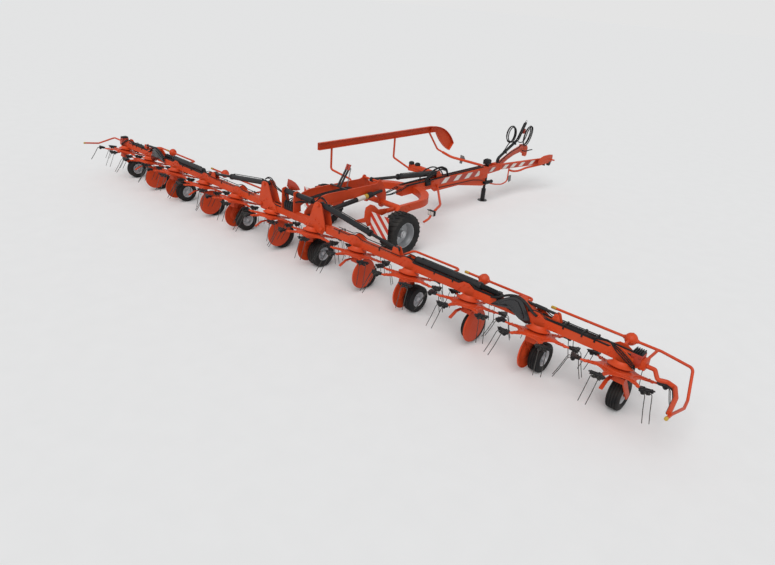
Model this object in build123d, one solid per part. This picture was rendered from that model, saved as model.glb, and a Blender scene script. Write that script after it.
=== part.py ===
from build123d import *
from functools import cache
from math import atan2, cos, degrees, pi, radians, sin
import os

# Trailed rotary hay tedder, spread in its working position. Millimetres and degrees.
# X runs to the machine's right, Y forward along the drawbar and Z up.
# The shapes are drawn with the gauge wheels' line at y = 0, and ROW_Y then sets the
# whole machine back, so that the origin is on the ground under its middle.
ROW_Y = -3440.0

# Rotor row
ROTOR_PITCH = 1060.0
ROTOR_COUNT = 12
ROTOR_Y = -226.0
ROTOR_Z = 617.0
ROTOR_TILT = 13.8
ARM_COUNT = 6
ARM_PHASE = 24.6
HOLDER_RADIUS = 532.0
STAR_REACH = 360.0
STAR_WAIST = 235.0
STAR_TIP_HALF = 22.0
STAR_THICKNESS = 12.0
ARM_BAR = 26.0
HUB_RADIUS = 88.0
HUB_LOW = -55.0
HUB_HIGH = 48.0
HUB_GAP = 11.0
HOLDER_WIDTH = 200.0
HOLDER_DEPTH = 100.0
HOLDER_HEIGHT = 44.0
TINE_SIZE = 9.0
TINE_SPACING = 92.0
TINE_LENGTH = 300.0
TINE_LEAN = 17.5
TINE_ROOT = 44.0
SPINDLE_RADIUS = 32.0
RUNNING_FIT = 0.05

# Gauge wheels under the rotors: the middle pair is larger
WHEEL_RADIUS = 203.0
WHEEL_WIDTH = 165.0
WHEEL_RIM = 118.0
MIDDLE_WHEEL_RADIUS = 228.5
MIDDLE_WHEEL_WIDTH = 215.0
MIDDLE_WHEEL_RIM = 118.0
MIDDLE_ROTORS = (6, 7)
WHEEL_SIDES = 28
STUB_RADIUS = 16.0
WHEEL_HUB_RADIUS = 34.0
WHEEL_HUB_WIDTH = 120.0

# Wheel legs, shields and wrap guards
LEG_THICKNESS = 16.0
LEG_HALF = 40.0
LEG_GAP = 14.0
LEG_BLOCK_HIGH = HUB_LOW - HUB_GAP
LEG_BLOCK_DEEP = 60.0
SHIELD_THICKNESS = 5.0
SHIELD_RIM = 14.0
SHIELD_RADIUS = 240.0
SHIELD_DISH = 14.0
SHIELD_Y = -150.0
SHIELD_RISE = 100.0
SHIELDED = (2, 3, 4, 5, 6, 7, 8, 9, 10, 11)
GUARDED = (1, 3, 5, 7, 9, 11)
STRIP_WIDTH = 44.0
STRIP_THICKNESS = 6.0

# Beams over the rotors
BEAM_Y = -150.0
BEAM_WIDTH = 120.0
BEAM_LOW = 725.0
BEAM_HIGH = 835.0
SADDLE_THICKNESS = 8.0
SADDLE_REACH = 262.0
SADDLE_HIGH = 890.0
GEARBOX_RADIUS = 84.0
HOSE_DIAMETER = 20.0
HOSE_SPACING = 48.0
END_BOX_X = 5980.0

# Wing hinge at the row frame's cheeks
WING_PIN_X = 800.0
WING_PIN_Z = 780.0
WING_PIN_RADIUS = 26.0
CHEEK_GAP = 6.0
CHEEK_THICKNESS = 15.0
TONGUE_WIDTH = 60.0
TONGUE_RADIUS = 50.0
WING_BEAM_START = 872.0
ROW_BEAM_END = 700.0

# Outer hinge, above the beams so that the end section folds over the wing
OUTER_PIN_X = 4440.0
OUTER_PIN_Z = 945.0
OUTER_PIN_RADIUS = 24.0
OUTER_SPLIT = 20.0
OUTER_LUG_RADIUS = 46.0
OUTER_LUG_THICKNESS = 18.0
OUTER_LUG_SPREAD = 40.0

# Wing lift cylinders
LIFT_BASE_X = 700.0
LIFT_BASE_Z = 1150.0
LIFT_EYE_X = 2340.0
LIFT_EYE_Z = 925.0
LIFT_BARREL_RADIUS = 45.0
LIFT_ROD_RADIUS = 24.0
LIFT_BARREL_LENGTH = 1120.0
LIFT_STROKE_ROOM = 760.0
EYE_RADIUS = 42.0
EYE_WIDTH = 50.0
EYE_GAP = 6.0
CYLINDER_PIN_RADIUS = 20.0
CLEVIS_THICKNESS = 14.0

# Outer fold cylinders, on top of the wing beams
FOLD_BASE_X = 2750.0
FOLD_BARREL_END = 3850.0
FOLD_ROD_END = 4130.0
FOLD_Z = 895.0
FOLD_BARREL_RADIUS = 44.0
FOLD_BOOT_RADIUS = 30.0

# Chassis
AXLE_Y = 1460.0
PIVOT_Y = 1800.0
PIVOT_Z = 700.0
CROSS_TUBE_RADIUS = 55.0
WHEEL_ARM_X = 700.0
WHEEL_ARM_THICKNESS = 70.0
WHEEL_ARM_LOW = 645.0
WHEEL_ARM_HIGH = 785.0
WHEEL_ARM_ROOT = 2860.0
WHEEL_ARM_WIDE = 90.0
ROAD_WHEEL_X = 1000.0
ROAD_WHEEL_RADIUS = 390.0
ROAD_WHEEL_WIDTH = 340.0
ROAD_WHEEL_RIM = 240.0
ROAD_WHEEL_SIDES = 36
ROAD_HUB_RADIUS = 70.0
ROAD_HUB_WIDTH = 190.0
ROAD_STUB_RADIUS = 32.0
ROW_ARM_X = 190.0
ROW_ARM_THICKNESS = 22.0
ROW_EYE = 95.0
ROW_LUG_RADIUS = 45.0
ROW_ARM_LOW = 905.0
ROW_ARM_HIGH = 1095.0
SHAFT_X = 265.0
SHAFT_RADIUS = 42.0
ROW_FIN_HIGH = 1200.0
CROSS_ROD_Z = 1130.0
CROSS_ROD_RADIUS = 45.0
ROW_LUG_Y = 1700.0
ROW_LUG_Z = 1100.0
ROW_LIFT_BASE_Y = 3660.0
ROW_LIFT_BASE_Z = 930.0
ROW_BARREL_RADIUS = 52.0
ROW_ROD_RADIUS = 30.0
ROW_BARREL_LENGTH = 1250.0
ROW_STROKE_ROOM = 1000.0

# Drawbar and hitch
DRAWBAR_WIDTH = 150.0
DRAWBAR_LOW = 650.0
DRAWBAR_HIGH = 830.0
DRAWBAR_START = 2500.0
DRAWBAR_END = 5430.0
WEDGE_START = 3900.0
WEDGE_LOW = 400.0
HEAD_PLATE = 18.0
HEAD_END = 6000.0
ARM_END_X = 370.0
ARM_END_Y = 7830.0
ARM_HALF = 26.0
HITCH_PIN_RADIUS = 18.25
HITCH_PIN_LENGTH = 95.0
HITCH_PIN_Z = 760.0
STAND_Y = 5515.0
STAND_LEG_RADIUS = 30.0
STAND_SLEEVE_RADIUS = 44.0
STAND_SLEEVE_LOW = 520.0
STAND_SLEEVE_HIGH = 960.0
STAND_FOOT_RADIUS = 110.0
STAND_OVERLAP = 60.0

# Guard rail on the left and tubes
RAIL_X = -1350.0
RAIL_Z = 1460.0
RAIL_REAR = 1530.0
RAIL_FRONT = 4980.0
RAIL_HEIGHT = 140.0
RAIL_DEPTH = 60.0
RAIL_WALL = 6.0
TUBE_DIAMETER = 42.0
REST_LOW = 720.0
REST_HIGH = 800.0
BOARD_THICKNESS = 5.0
GUARD_DIAMETER = 34.0
GUARD_Y = 215.0
GUARD_Z = 815.0
GUARD_BEND = 60.0
DOME_RADIUS = 77.0
DEFLECTOR_DIAMETER = 50.0


def box_between(low, high):
    """A block from its lowest to its highest corner."""
    size = [high[i] - low[i] for i in range(3)]
    middle = [(high[i] + low[i]) / 2 for i in range(3)]
    return Pos(*middle) * Box(*size)


def plate_yz(points, x_low, x_high):
    """A plate with a (y, z) outline, from x_low to x_high."""
    outline = make_face(Polyline(*points, close=True))
    return extrude(Plane.YZ.offset(x_low) * outline, x_high - x_low)


def plate_xz(points, y_low, y_high):
    """A plate with an (x, z) outline, from y_low to y_high."""
    outline = make_face(Polyline(*points, close=True))
    return extrude(Plane.XZ.offset(-y_high) * outline, y_high - y_low)


def plate_xy(points, z_low, z_high):
    """A plate with an (x, y) outline, from z_low to z_high."""
    outline = make_face(Polyline(*points, close=True))
    return extrude(Plane.XY.offset(z_low) * outline, z_high - z_low)


def round_bar(start, end, radius):
    """A round bar between two points."""
    start = Vector(*start)
    end = Vector(*end)
    run = end - start
    return extrude(Plane(origin=start, z_dir=run) * Circle(radius), run.length)


def bent_tube(points, diameter, bend):
    """A round tube along straight runs joined by tangent arcs."""
    path = FilletPolyline(*points, radius=bend)
    return sweep(Plane(origin=path @ 0, z_dir=path % 0) * Circle(diameter / 2), path=path)


def mirrored_x(shape, side):
    """The shape as drawn for the right side, or its mirror image for the left."""
    return shape if side > 0 else mirror(shape, about=Plane.YZ)


def rotor_x(number):
    """Rotors are numbered from the machine's right."""
    return ((ROTOR_COUNT + 1) / 2 - number) * ROTOR_PITCH


def spindle_place(number):
    """The rotor's own frame: its origin in the tine holders' plane, Z along the spindle."""
    return Pos(rotor_x(number), ROTOR_Y, ROTOR_Z) * Rot(X=-ROTOR_TILT)


def wheel_size(number):
    """Radius, width and rim radius of the gauge wheel under a rotor."""
    if number in MIDDLE_ROTORS:
        return MIDDLE_WHEEL_RADIUS, MIDDLE_WHEEL_WIDTH, MIDDLE_WHEEL_RIM
    return WHEEL_RADIUS, WHEEL_WIDTH, WHEEL_RIM


def leg_side(number):
    """Odd rotors carry their wheel leg on the right of the wheel, even ones on the left."""
    return 1 if number % 2 else -1


# Rotor: star plate, six bars, and a tine holder with two tines on each
def polar(radius, angle):
    return (radius * cos(radians(angle)), radius * sin(radians(angle)))


def star_plate():
    step = 360 / ARM_COUNT
    half = degrees(atan2(STAR_TIP_HALF, STAR_REACH))
    edges = []
    for i in range(ARM_COUNT):
        arm = i * step
        edges.append(Line(polar(STAR_REACH, arm - half), polar(STAR_REACH, arm + half)))
        edges.append(ThreePointArc(polar(STAR_REACH, arm + half), polar(STAR_WAIST, arm + step / 2),
                                   polar(STAR_REACH, arm + step - half)))
    outline = make_face(edges)
    return extrude(Plane.XY.offset(-STAR_THICKNESS / 2) * outline, STAR_THICKNESS)


def tine_holder():
    """Winged block at the end of the arm along +X, with its pair of spring tines."""
    wing = HOLDER_WIDTH / 2
    inner = HOLDER_RADIUS - HOLDER_DEPTH
    neck = ARM_BAR / 2
    back = HOLDER_RADIUS - 32
    edges = [Line((inner, -neck), (inner, neck)),
             ThreePointArc((inner, neck), (inner + 44, wing * 0.42), (back, wing)),
             Line((back, wing), (HOLDER_RADIUS, wing - 8)),
             ThreePointArc((HOLDER_RADIUS, wing - 8), (HOLDER_RADIUS + 14, 0), (HOLDER_RADIUS, 8 - wing)),
             Line((HOLDER_RADIUS, 8 - wing), (back, -wing)),
             ThreePointArc((back, -wing), (inner + 44, -wing * 0.42), (inner, -neck))]
    outline = Plane.XY.offset(-HOLDER_HEIGHT / 2) * make_face(edges)
    holder = extrude(outline, HOLDER_HEIGHT)
    for side in (-1, 1):
        across = side * TINE_SPACING / 2
        root = Vector(HOLDER_RADIUS - 12, across, 0)
        knee = Vector(HOLDER_RADIUS + TINE_ROOT, across, -14)
        lean = radians(TINE_LEAN)
        tip = knee + Vector(sin(lean), 0, -cos(lean)) * TINE_LENGTH
        path = Polyline(root, knee, tip)
        frame = Plane(origin=root, z_dir=knee - root)
        holder += sweep(frame * Rectangle(TINE_SIZE, TINE_SIZE), path=path, transition=Transition.RIGHT)
    return holder


def rotor(number):
    bar_start = STAR_REACH - 60
    bar_length = HOLDER_RADIUS - HOLDER_DEPTH + 10 - bar_start
    body = star_plate()
    arm = Pos(bar_start + bar_length / 2, 0, 0) * Box(bar_length, ARM_BAR, ARM_BAR) + tine_holder()
    for i in range(ARM_COUNT):
        body += Rot(Z=i * 360 / ARM_COUNT) * arm
    hub_height = HUB_HIGH - HUB_LOW
    body += Pos(0, 0, (HUB_HIGH + HUB_LOW) / 2) * Cylinder(HUB_RADIUS, hub_height)
    body += Pos(0, 0, 24) * Cone(HUB_RADIUS * 1.9, HUB_RADIUS, 36)
    body -= Cylinder(SPINDLE_RADIUS + RUNNING_FIT, 4 * hub_height)
    phase = ARM_PHASE if number % 2 else 30 - ARM_PHASE
    return spindle_place(number) * Rot(Z=phase) * body


# Wheels: a turned section with a deep dish on both sides. Its flats keep the tyres' mesh small,
# and one of them is straight down, on the ground
def flat_sided_turn(profile, sides):
    """A line of (x, r) points turned about X with flat sides, closed at both ends."""
    corner = 1 / cos(pi / sides)
    rings = []
    for x, r in profile:
        angles = [2 * pi * (k + 0.5) / sides for k in range(sides)]
        rings.append([(x, r * corner * sin(angle), -r * corner * cos(angle)) for angle in angles])
    faces = [make_face(Polyline(*rings[0], close=True)), make_face(Polyline(*rings[-1], close=True))]
    for near, far in zip(rings, rings[1:]):
        for k in range(sides):
            after = (k + 1) % sides
            faces.append(make_face(Polyline(near[k], near[after], far[after], far[k], close=True)))
    return Solid(Shell([face.face() for face in faces]))


@cache
def turned_wheel(radius, width, rim, hub_radius, hub_width, bore, sides):
    half = width / 2
    web = 0.05 * width
    right = [(hub_width / 2, hub_radius), (web, hub_radius), (web, rim * 0.84), (half * 0.9, rim),
             (half, rim + 0.5 * (radius - rim)), (half * 0.8, radius)]
    left = [(-x, r) for x, r in reversed(right)]
    wheel = flat_sided_turn(right + left, sides)
    return wheel - Rot(Y=90) * Cylinder(bore, 2 * hub_width)


def gauge_wheel(number):
    radius, width, rim = wheel_size(number)
    wheel = turned_wheel(radius, width, rim, WHEEL_HUB_RADIUS, WHEEL_HUB_WIDTH,
                         STUB_RADIUS + RUNNING_FIT, WHEEL_SIDES)
    return Pos(rotor_x(number), 0, radius) * wheel


def road_wheel(side):
    wheel = turned_wheel(ROAD_WHEEL_RADIUS, ROAD_WHEEL_WIDTH, ROAD_WHEEL_RIM, ROAD_HUB_RADIUS,
                         ROAD_HUB_WIDTH, ROAD_STUB_RADIUS + RUNNING_FIT, ROAD_WHEEL_SIDES)
    return Pos(side * ROAD_WHEEL_X, AXLE_Y, ROAD_WHEEL_RADIUS) * wheel


# Wheel leg: spindle through the rotor's hub, block, side plate, stub axle, shield, wrap guard
def wheel_leg(number):
    radius, width, rim = wheel_size(number)
    side = leg_side(number)
    x = rotor_x(number)
    near = width / 2 + LEG_GAP
    far = near + LEG_THICKNESS
    spindle_top = gearbox_base()
    spindle_length = spindle_top - LEG_BLOCK_HIGH
    leg = Pos(0, 0, (spindle_top + LEG_BLOCK_HIGH) / 2) * Cylinder(SPINDLE_RADIUS, spindle_length)
    block_low = LEG_BLOCK_HIGH - LEG_BLOCK_DEEP
    reach = sorted((-side * LEG_HALF, side * far))
    leg += box_between((reach[0], -LEG_HALF, block_low), (reach[1], LEG_HALF, LEG_BLOCK_HIGH))
    leg = spindle_place(number) * leg
    root = (spindle_place(number) * Pos(0, 0, (block_low + LEG_BLOCK_HIGH) / 2)).position
    lean = atan2(root.Z - radius, root.Y)
    back = (-sin(lean) * LEG_HALF, cos(lean) * LEG_HALF)
    toe = 0.8 * LEG_HALF
    outline = [(root.Y + back[0], root.Z + back[1]), (back[0], radius + back[1]),
               (-back[0] * 0.6 - cos(lean) * toe, radius - back[1] * 0.6 - sin(lean) * toe),
               (-back[0], radius - back[1]), (root.Y - back[0], root.Z - back[1])]
    plate_low, plate_high = sorted((x + side * near, x + side * far))
    leg += plate_yz(outline, plate_low, plate_high)
    stub_end = x - side * (WHEEL_HUB_WIDTH / 2 + 4)
    leg += round_bar((x + side * near, 0, radius), (stub_end, 0, radius), STUB_RADIUS)
    if number in SHIELDED:
        leg += wheel_shield(number)
    if number in GUARDED:
        leg += wrap_guard(number)
    return leg


def gearbox_base():
    """Height of the gearbox's foot along the spindle, above the holders' plane."""
    return HUB_HIGH + HUB_GAP


def wheel_shield(number):
    """Round dished guard beside the tyre, its rim turned in and its boss on the leg's plate."""
    radius, width, rim = wheel_size(number)
    face = width / 2 + LEG_GAP + LEG_THICKNESS
    wall = SHIELD_THICKNESS
    crown = face + SHIELD_DISH
    section = [(face - SHIELD_RIM, SHIELD_RADIUS), (face + wall, SHIELD_RADIUS),
               (crown + wall, 0.55 * SHIELD_RADIUS), (crown + wall, 0), (face, 0),
               (face, 0.3 * SHIELD_RADIUS), (crown, 0.5 * SHIELD_RADIUS), (face, SHIELD_RADIUS - wall),
               (face - SHIELD_RIM, SHIELD_RADIUS - wall)]
    dish = revolve(make_face(Polyline(*section, close=True)), axis=Axis.X)
    return Pos(rotor_x(number), SHIELD_Y, radius + SHIELD_RISE) * mirrored_x(dish, leg_side(number))


def wrap_guard(number):
    """Bent strip behind and above the wheel."""
    x = rotor_x(number)
    place = spindle_place(number)
    block_low = LEG_BLOCK_HIGH - LEG_BLOCK_DEEP
    outline = [(-LEG_HALF + 4, block_low + 30), (-LEG_HALF + 4, block_low + 30 + STRIP_THICKNESS * 2),
               (-150, block_low + 18), (-260, block_low - 70), (-256, block_low - 84), (-150, block_low + 4)]
    return place * Pos(-STRIP_WIDTH, 0, 0) * plate_yz(outline, -STRIP_WIDTH / 2, STRIP_WIDTH / 2)


# Beams
def gearbox(number):
    """Bevel gearbox between the beam and the rotor's hub, cut off flat under the beam."""
    height = 2 * (BEAM_LOW - ROTOR_Z)
    place = spindle_place(number) * Pos(0, 0, gearbox_base() + height / 2)
    housing = place * Cylinder(GEARBOX_RADIUS, height)
    limit = 3 * GEARBOX_RADIUS
    x = rotor_x(number)
    under = box_between((x - limit, BEAM_Y - limit, ROTOR_Z), (x + limit, BEAM_Y + limit, BEAM_LOW))
    return housing & under


def saddle(x):
    """Pair of curved gusset plates over a gearbox, fused to the beam's sides."""
    plates = None
    outline = [(x - 250, BEAM_LOW + 6), (x - 190, BEAM_HIGH), (x - 110, SADDLE_HIGH), (x - 20, SADDLE_HIGH),
               (x + 90, BEAM_HIGH - 10), (x + 230, BEAM_LOW + 30), (x + 170, BEAM_LOW + 1),
               (x - 120, BEAM_LOW + 1)]
    for side in (-1, 1):
        near = BEAM_Y + side * BEAM_WIDTH / 2
        far = near + side * SADDLE_THICKNESS
        low, high = sorted((near, far))
        plate = plate_xz(outline, low, high)
        plates = plate if plates is None else plates + plate
    return plates


def beam_box(x_low, x_high):
    half = BEAM_WIDTH / 2
    return box_between((x_low, BEAM_Y - half, BEAM_LOW), (x_high, BEAM_Y + half, BEAM_HIGH))


def hose_pair(x_low, x_high):
    """Two hoses clipped along the top of a beam."""
    hoses = []
    z = BEAM_HIGH + HOSE_DIAMETER / 2 + 0.3
    for side in (-1, 1):
        y = BEAM_Y + side * HOSE_SPACING
        hoses.append(round_bar((x_low, y, z), (x_high, y, z), HOSE_DIAMETER / 2))
    return hoses


def row_frame():
    """Middle section: box beam, hinge cheeks, tube across, and the arms to the chassis."""
    frame = beam_box(-ROW_BEAM_END, ROW_BEAM_END)
    half = BEAM_WIDTH / 2
    for side in (-1, 1):
        outline = [(side * 360, BEAM_LOW + 1), (side * 650, BEAM_LOW + 1), (side * 700, BEAM_LOW - 30),
                   (side * 810, BEAM_LOW - 30), (side * 868, WING_PIN_Z),
                   (side * 852, 880), (side * 770, LIFT_BASE_Z + 20), (side * 730, LIFT_BASE_Z + 45),
                   (side * 640, LIFT_BASE_Z + 45), (side * 600, LIFT_BASE_Z + 10),
                   (side * 480, BEAM_HIGH + 40), (side * 400, BEAM_HIGH)]
        for face in (-1, 1):
            near = BEAM_Y + face * (half + CHEEK_GAP)
            low, high = sorted((near, near + face * CHEEK_THICKNESS))
            frame += plate_xz(outline, low, high)
        low, high = sorted((side * (ROW_BEAM_END - 120), side * (ROW_BEAM_END - 20)))
        reach = half + CHEEK_GAP + CHEEK_THICKNESS
        frame += box_between((low, BEAM_Y - reach, BEAM_LOW), (high, BEAM_Y + reach, BEAM_HIGH))
        frame += round_bar((side * WING_PIN_X, BEAM_Y - reach - 12, WING_PIN_Z),
                           (side * WING_PIN_X, BEAM_Y + reach + 12, WING_PIN_Z), WING_PIN_RADIUS)
        frame += round_bar((side * LIFT_BASE_X, BEAM_Y - reach - 8, LIFT_BASE_Z),
                           (side * LIFT_BASE_X, BEAM_Y + reach + 8, LIFT_BASE_Z), CYLINDER_PIN_RADIUS)
    front = BEAM_Y + half
    root_low = (front + 90, BEAM_LOW + 20)
    under = (PIVOT_Y - 320, ROW_ARM_LOW)
    pivot_back = (PIVOT_Y - ROW_EYE, PIVOT_Z)
    pivot_front = (PIVOT_Y + ROW_EYE, PIVOT_Z)
    shoulder = (PIVOT_Y + ROW_EYE, PIVOT_Z + 60)
    lug_front = (ROW_LUG_Y + ROW_LUG_RADIUS, ROW_LUG_Z)
    lug_back = (ROW_LUG_Y - ROW_LUG_RADIUS, ROW_LUG_Z)
    top = (ROW_LUG_Y - 120, ROW_ARM_HIGH - 15)
    root_high = (front, BEAM_HIGH + 40)
    edges = [Line((front, BEAM_LOW + 10), root_low),
             ThreePointArc(root_low, (front + 350, ROW_ARM_LOW - 40), (front + 680, ROW_ARM_LOW)),
             Line((front + 680, ROW_ARM_LOW), under),
             ThreePointArc(under, (PIVOT_Y - 140, ROW_ARM_LOW - 80), pivot_back),
             ThreePointArc(pivot_back, (PIVOT_Y, PIVOT_Z - ROW_EYE), pivot_front),
             Line(pivot_front, shoulder),
             ThreePointArc(shoulder, (PIVOT_Y + 50, PIVOT_Z + 260), lug_front),
             ThreePointArc(lug_front, (ROW_LUG_Y, ROW_LUG_Z + ROW_LUG_RADIUS), lug_back),
             Line(lug_back, top),
             Line(top, (front + 560, ROW_ARM_HIGH)),
             ThreePointArc((front + 560, ROW_ARM_HIGH), (front + 220, ROW_ARM_HIGH - 70), root_high),
             Line(root_high, (front, BEAM_LOW + 10))]
    arm = make_face(edges)
    for side in (-1, 1):
        low = ROW_ARM_X if side > 0 else -ROW_ARM_X - ROW_ARM_THICKNESS
        frame += extrude(Plane.YZ.offset(low) * arm, ROW_ARM_THICKNESS)
    fin = [(BEAM_Y - half, BEAM_HIGH), (BEAM_Y + half + 40, BEAM_HIGH), (BEAM_Y + 90, 1010),
           (BEAM_Y + 70, ROW_FIN_HIGH - 30), (BEAM_Y + 20, ROW_FIN_HIGH), (BEAM_Y - 50, ROW_FIN_HIGH - 20)]
    for x in (-262, 44):
        frame += plate_yz(fin, x, x + 18)
    frame -= round_bar((-400, BEAM_Y + 30, CROSS_ROD_Z), (500, BEAM_Y + 30, CROSS_ROD_Z), CROSS_ROD_RADIUS)
    bore = CROSS_TUBE_RADIUS + RUNNING_FIT
    frame -= round_bar((-400, PIVOT_Y, PIVOT_Z), (400, PIVOT_Y, PIVOT_Z), bore)
    for side in (-1, 1):
        low, high = sorted((side * (EYE_WIDTH / 2 + EYE_GAP), side * ROW_ARM_X))
        frame += round_bar((low, ROW_LUG_Y, ROW_LUG_Z), (high, ROW_LUG_Y, ROW_LUG_Z), CYLINDER_PIN_RADIUS)
    return frame


def wing_beam():
    """Right wing's beam, from the cheeks' pin to the outer hinge."""
    half = BEAM_WIDTH / 2
    end = OUTER_PIN_X - OUTER_SPLIT
    beam = beam_box(WING_BEAM_START, end)
    tongue = TONGUE_WIDTH / 2
    beam += box_between((WING_PIN_X, BEAM_Y - tongue, WING_PIN_Z - TONGUE_RADIUS),
                        (WING_BEAM_START, BEAM_Y + tongue, WING_PIN_Z + TONGUE_RADIUS))
    beam += round_bar((WING_PIN_X, BEAM_Y - tongue, WING_PIN_Z), (WING_PIN_X, BEAM_Y + tongue, WING_PIN_Z),
                      TONGUE_RADIUS)
    beam -= round_bar((WING_PIN_X, BEAM_Y - half, WING_PIN_Z), (WING_PIN_X, BEAM_Y + half, WING_PIN_Z),
                      WING_PIN_RADIUS + RUNNING_FIT)
    for number in (3, 4, 5):
        beam += saddle(rotor_x(number))
    for face in (-1, 1):
        near = BEAM_Y + face * (EYE_WIDTH / 2 + EYE_GAP)
        low, high = sorted((near, near + face * CLEVIS_THICKNESS))
        lug = [(LIFT_EYE_X - 70, BEAM_HIGH), (LIFT_EYE_X + 110, BEAM_HIGH),
               (LIFT_EYE_X + 40, LIFT_EYE_Z + 35), (LIFT_EYE_X - 40, LIFT_EYE_Z + 35)]
        beam += plate_xz(lug, low, high)
        near = BEAM_Y + face * OUTER_LUG_SPREAD
        low, high = sorted((near, near + face * OUTER_LUG_THICKNESS))
        knee = [(end - 230, BEAM_HIGH), (end, BEAM_HIGH), (OUTER_PIN_X + OUTER_LUG_RADIUS, OUTER_PIN_Z - 10),
                (OUTER_PIN_X + 30, OUTER_PIN_Z + 35), (OUTER_PIN_X - 30, OUTER_PIN_Z + 35)]
        beam += plate_xz(knee, low, high)
    reach = OUTER_LUG_SPREAD + OUTER_LUG_THICKNESS + 8
    beam += round_bar((OUTER_PIN_X, BEAM_Y - reach, OUTER_PIN_Z), (OUTER_PIN_X, BEAM_Y + reach, OUTER_PIN_Z),
                      OUTER_PIN_RADIUS)
    return beam


def outer_beam():
    """Right end section's beam, hung from the outer hinge's pin."""
    start = OUTER_PIN_X + OUTER_SPLIT
    beam = beam_box(start, END_BOX_X + 110)
    tongue = OUTER_LUG_SPREAD - 2
    knee = [(start + 10, BEAM_HIGH), (start + 260, BEAM_HIGH), (OUTER_PIN_X + 60, OUTER_PIN_Z + 36),
            (OUTER_PIN_X, OUTER_PIN_Z + 44), (OUTER_PIN_X - 36, OUTER_PIN_Z + 20),
            (OUTER_PIN_X - 36, OUTER_PIN_Z - 30), (OUTER_PIN_X + 10, OUTER_PIN_Z - 50)]
    beam += plate_xz(knee, BEAM_Y - tongue, BEAM_Y + tongue)
    beam -= round_bar((OUTER_PIN_X, BEAM_Y - 100, OUTER_PIN_Z), (OUTER_PIN_X, BEAM_Y + 100, OUTER_PIN_Z),
                      OUTER_PIN_RADIUS + RUNNING_FIT)
    for number in (1, 2):
        beam += saddle(rotor_x(number))
    return beam


def guard_tube(points):
    """Front safety tube: a loop out from the beam's front face, at guard height."""
    path = [(x, y, GUARD_Z) for x, y in points]
    return bent_tube(path, GUARD_DIAMETER, GUARD_BEND)


def guard_root(x):
    """Front face that a guard tube is welded to: the beam's, or a saddle plate's where there is one."""
    face = BEAM_Y + BEAM_WIDTH / 2
    near_saddle = min(abs(x - rotor_x(number)) for number in range(1, ROTOR_COUNT + 1)) < SADDLE_REACH
    return face + SADDLE_THICKNESS if near_saddle else face


def guard_strut(x, reach):
    """Straight stay from the beam's front face out to the tube."""
    return round_bar((x, guard_root(x), GUARD_Z), (x, reach, GUARD_Z), GUARD_DIAMETER / 2)


def guard_dome(x, y):
    return Pos(x, y, GUARD_Z) * Sphere(DOME_RADIUS)


def wing_guard_right():
    inner_root = guard_root(2370)
    loop = guard_tube([(2370, inner_root), (2370, GUARD_Y), (3240, GUARD_Y), (3200, 40), (2960, 30),
                       (2960, guard_root(2960))])
    outer = guard_tube([(4370, guard_root(4370)), (4370, 90), (4585, GUARD_Y), (3330, GUARD_Y)])
    outer += guard_dome(3640, GUARD_Y)
    return [loop, outer + guard_strut(3640, GUARD_Y)]


def wing_guard_left():
    inner = guard_tube([(-1240, guard_root(-1240)), (-1240, GUARD_Y), (-3040, GUARD_Y)])
    inner += guard_dome(-2570, GUARD_Y)
    outer = guard_tube([(-3650, guard_root(-3650)), (-3650, GUARD_Y), (-4640, GUARD_Y)])
    outer += guard_dome(-4538, GUARD_Y)
    return [inner + guard_strut(-2570, GUARD_Y), outer]


def outer_guard_right():
    """Front tube of the right end section, bent down at its tip, and the deflector's thick tube."""
    path = [(4700, GUARD_Y, GUARD_Z), (6100, GUARD_Y, GUARD_Z), (6465, GUARD_Y, 767), (6550, 20, 480),
            (6583, -200, 500), (6583, -680, 660), (6583, -840, 690)]
    outer = bent_tube(path, GUARD_DIAMETER, GUARD_BEND) + guard_dome(5740, GUARD_Y)
    end = END_BOX_X + 110
    deflector = bent_tube([(end, BEAM_Y, 765), (end + 90, BEAM_Y, 765), (6250, -215, 700), (6345, -175, 700),
                           (6440, -215, 700), (6520, -410, 700), (6570, -740, 700)], DEFLECTOR_DIAMETER, 28)
    return [outer + guard_strut(5740, GUARD_Y) + guard_strut(6060, GUARD_Y), deflector]


def outer_guard_left():
    inner = guard_tube([(-5080, guard_root(-5080)), (-5080, GUARD_Y), (-4720, GUARD_Y)])
    end = END_BOX_X + 110
    loop = [(-end, BEAM_Y, GUARD_Z - 25), (-6480, BEAM_Y, GUARD_Z - 25), (-6583, BEAM_Y - 330, 680),
            (-6583, BEAM_Y - 640, 720)]
    return [inner, bent_tube(loop, GUARD_DIAMETER, GUARD_BEND)]


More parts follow.
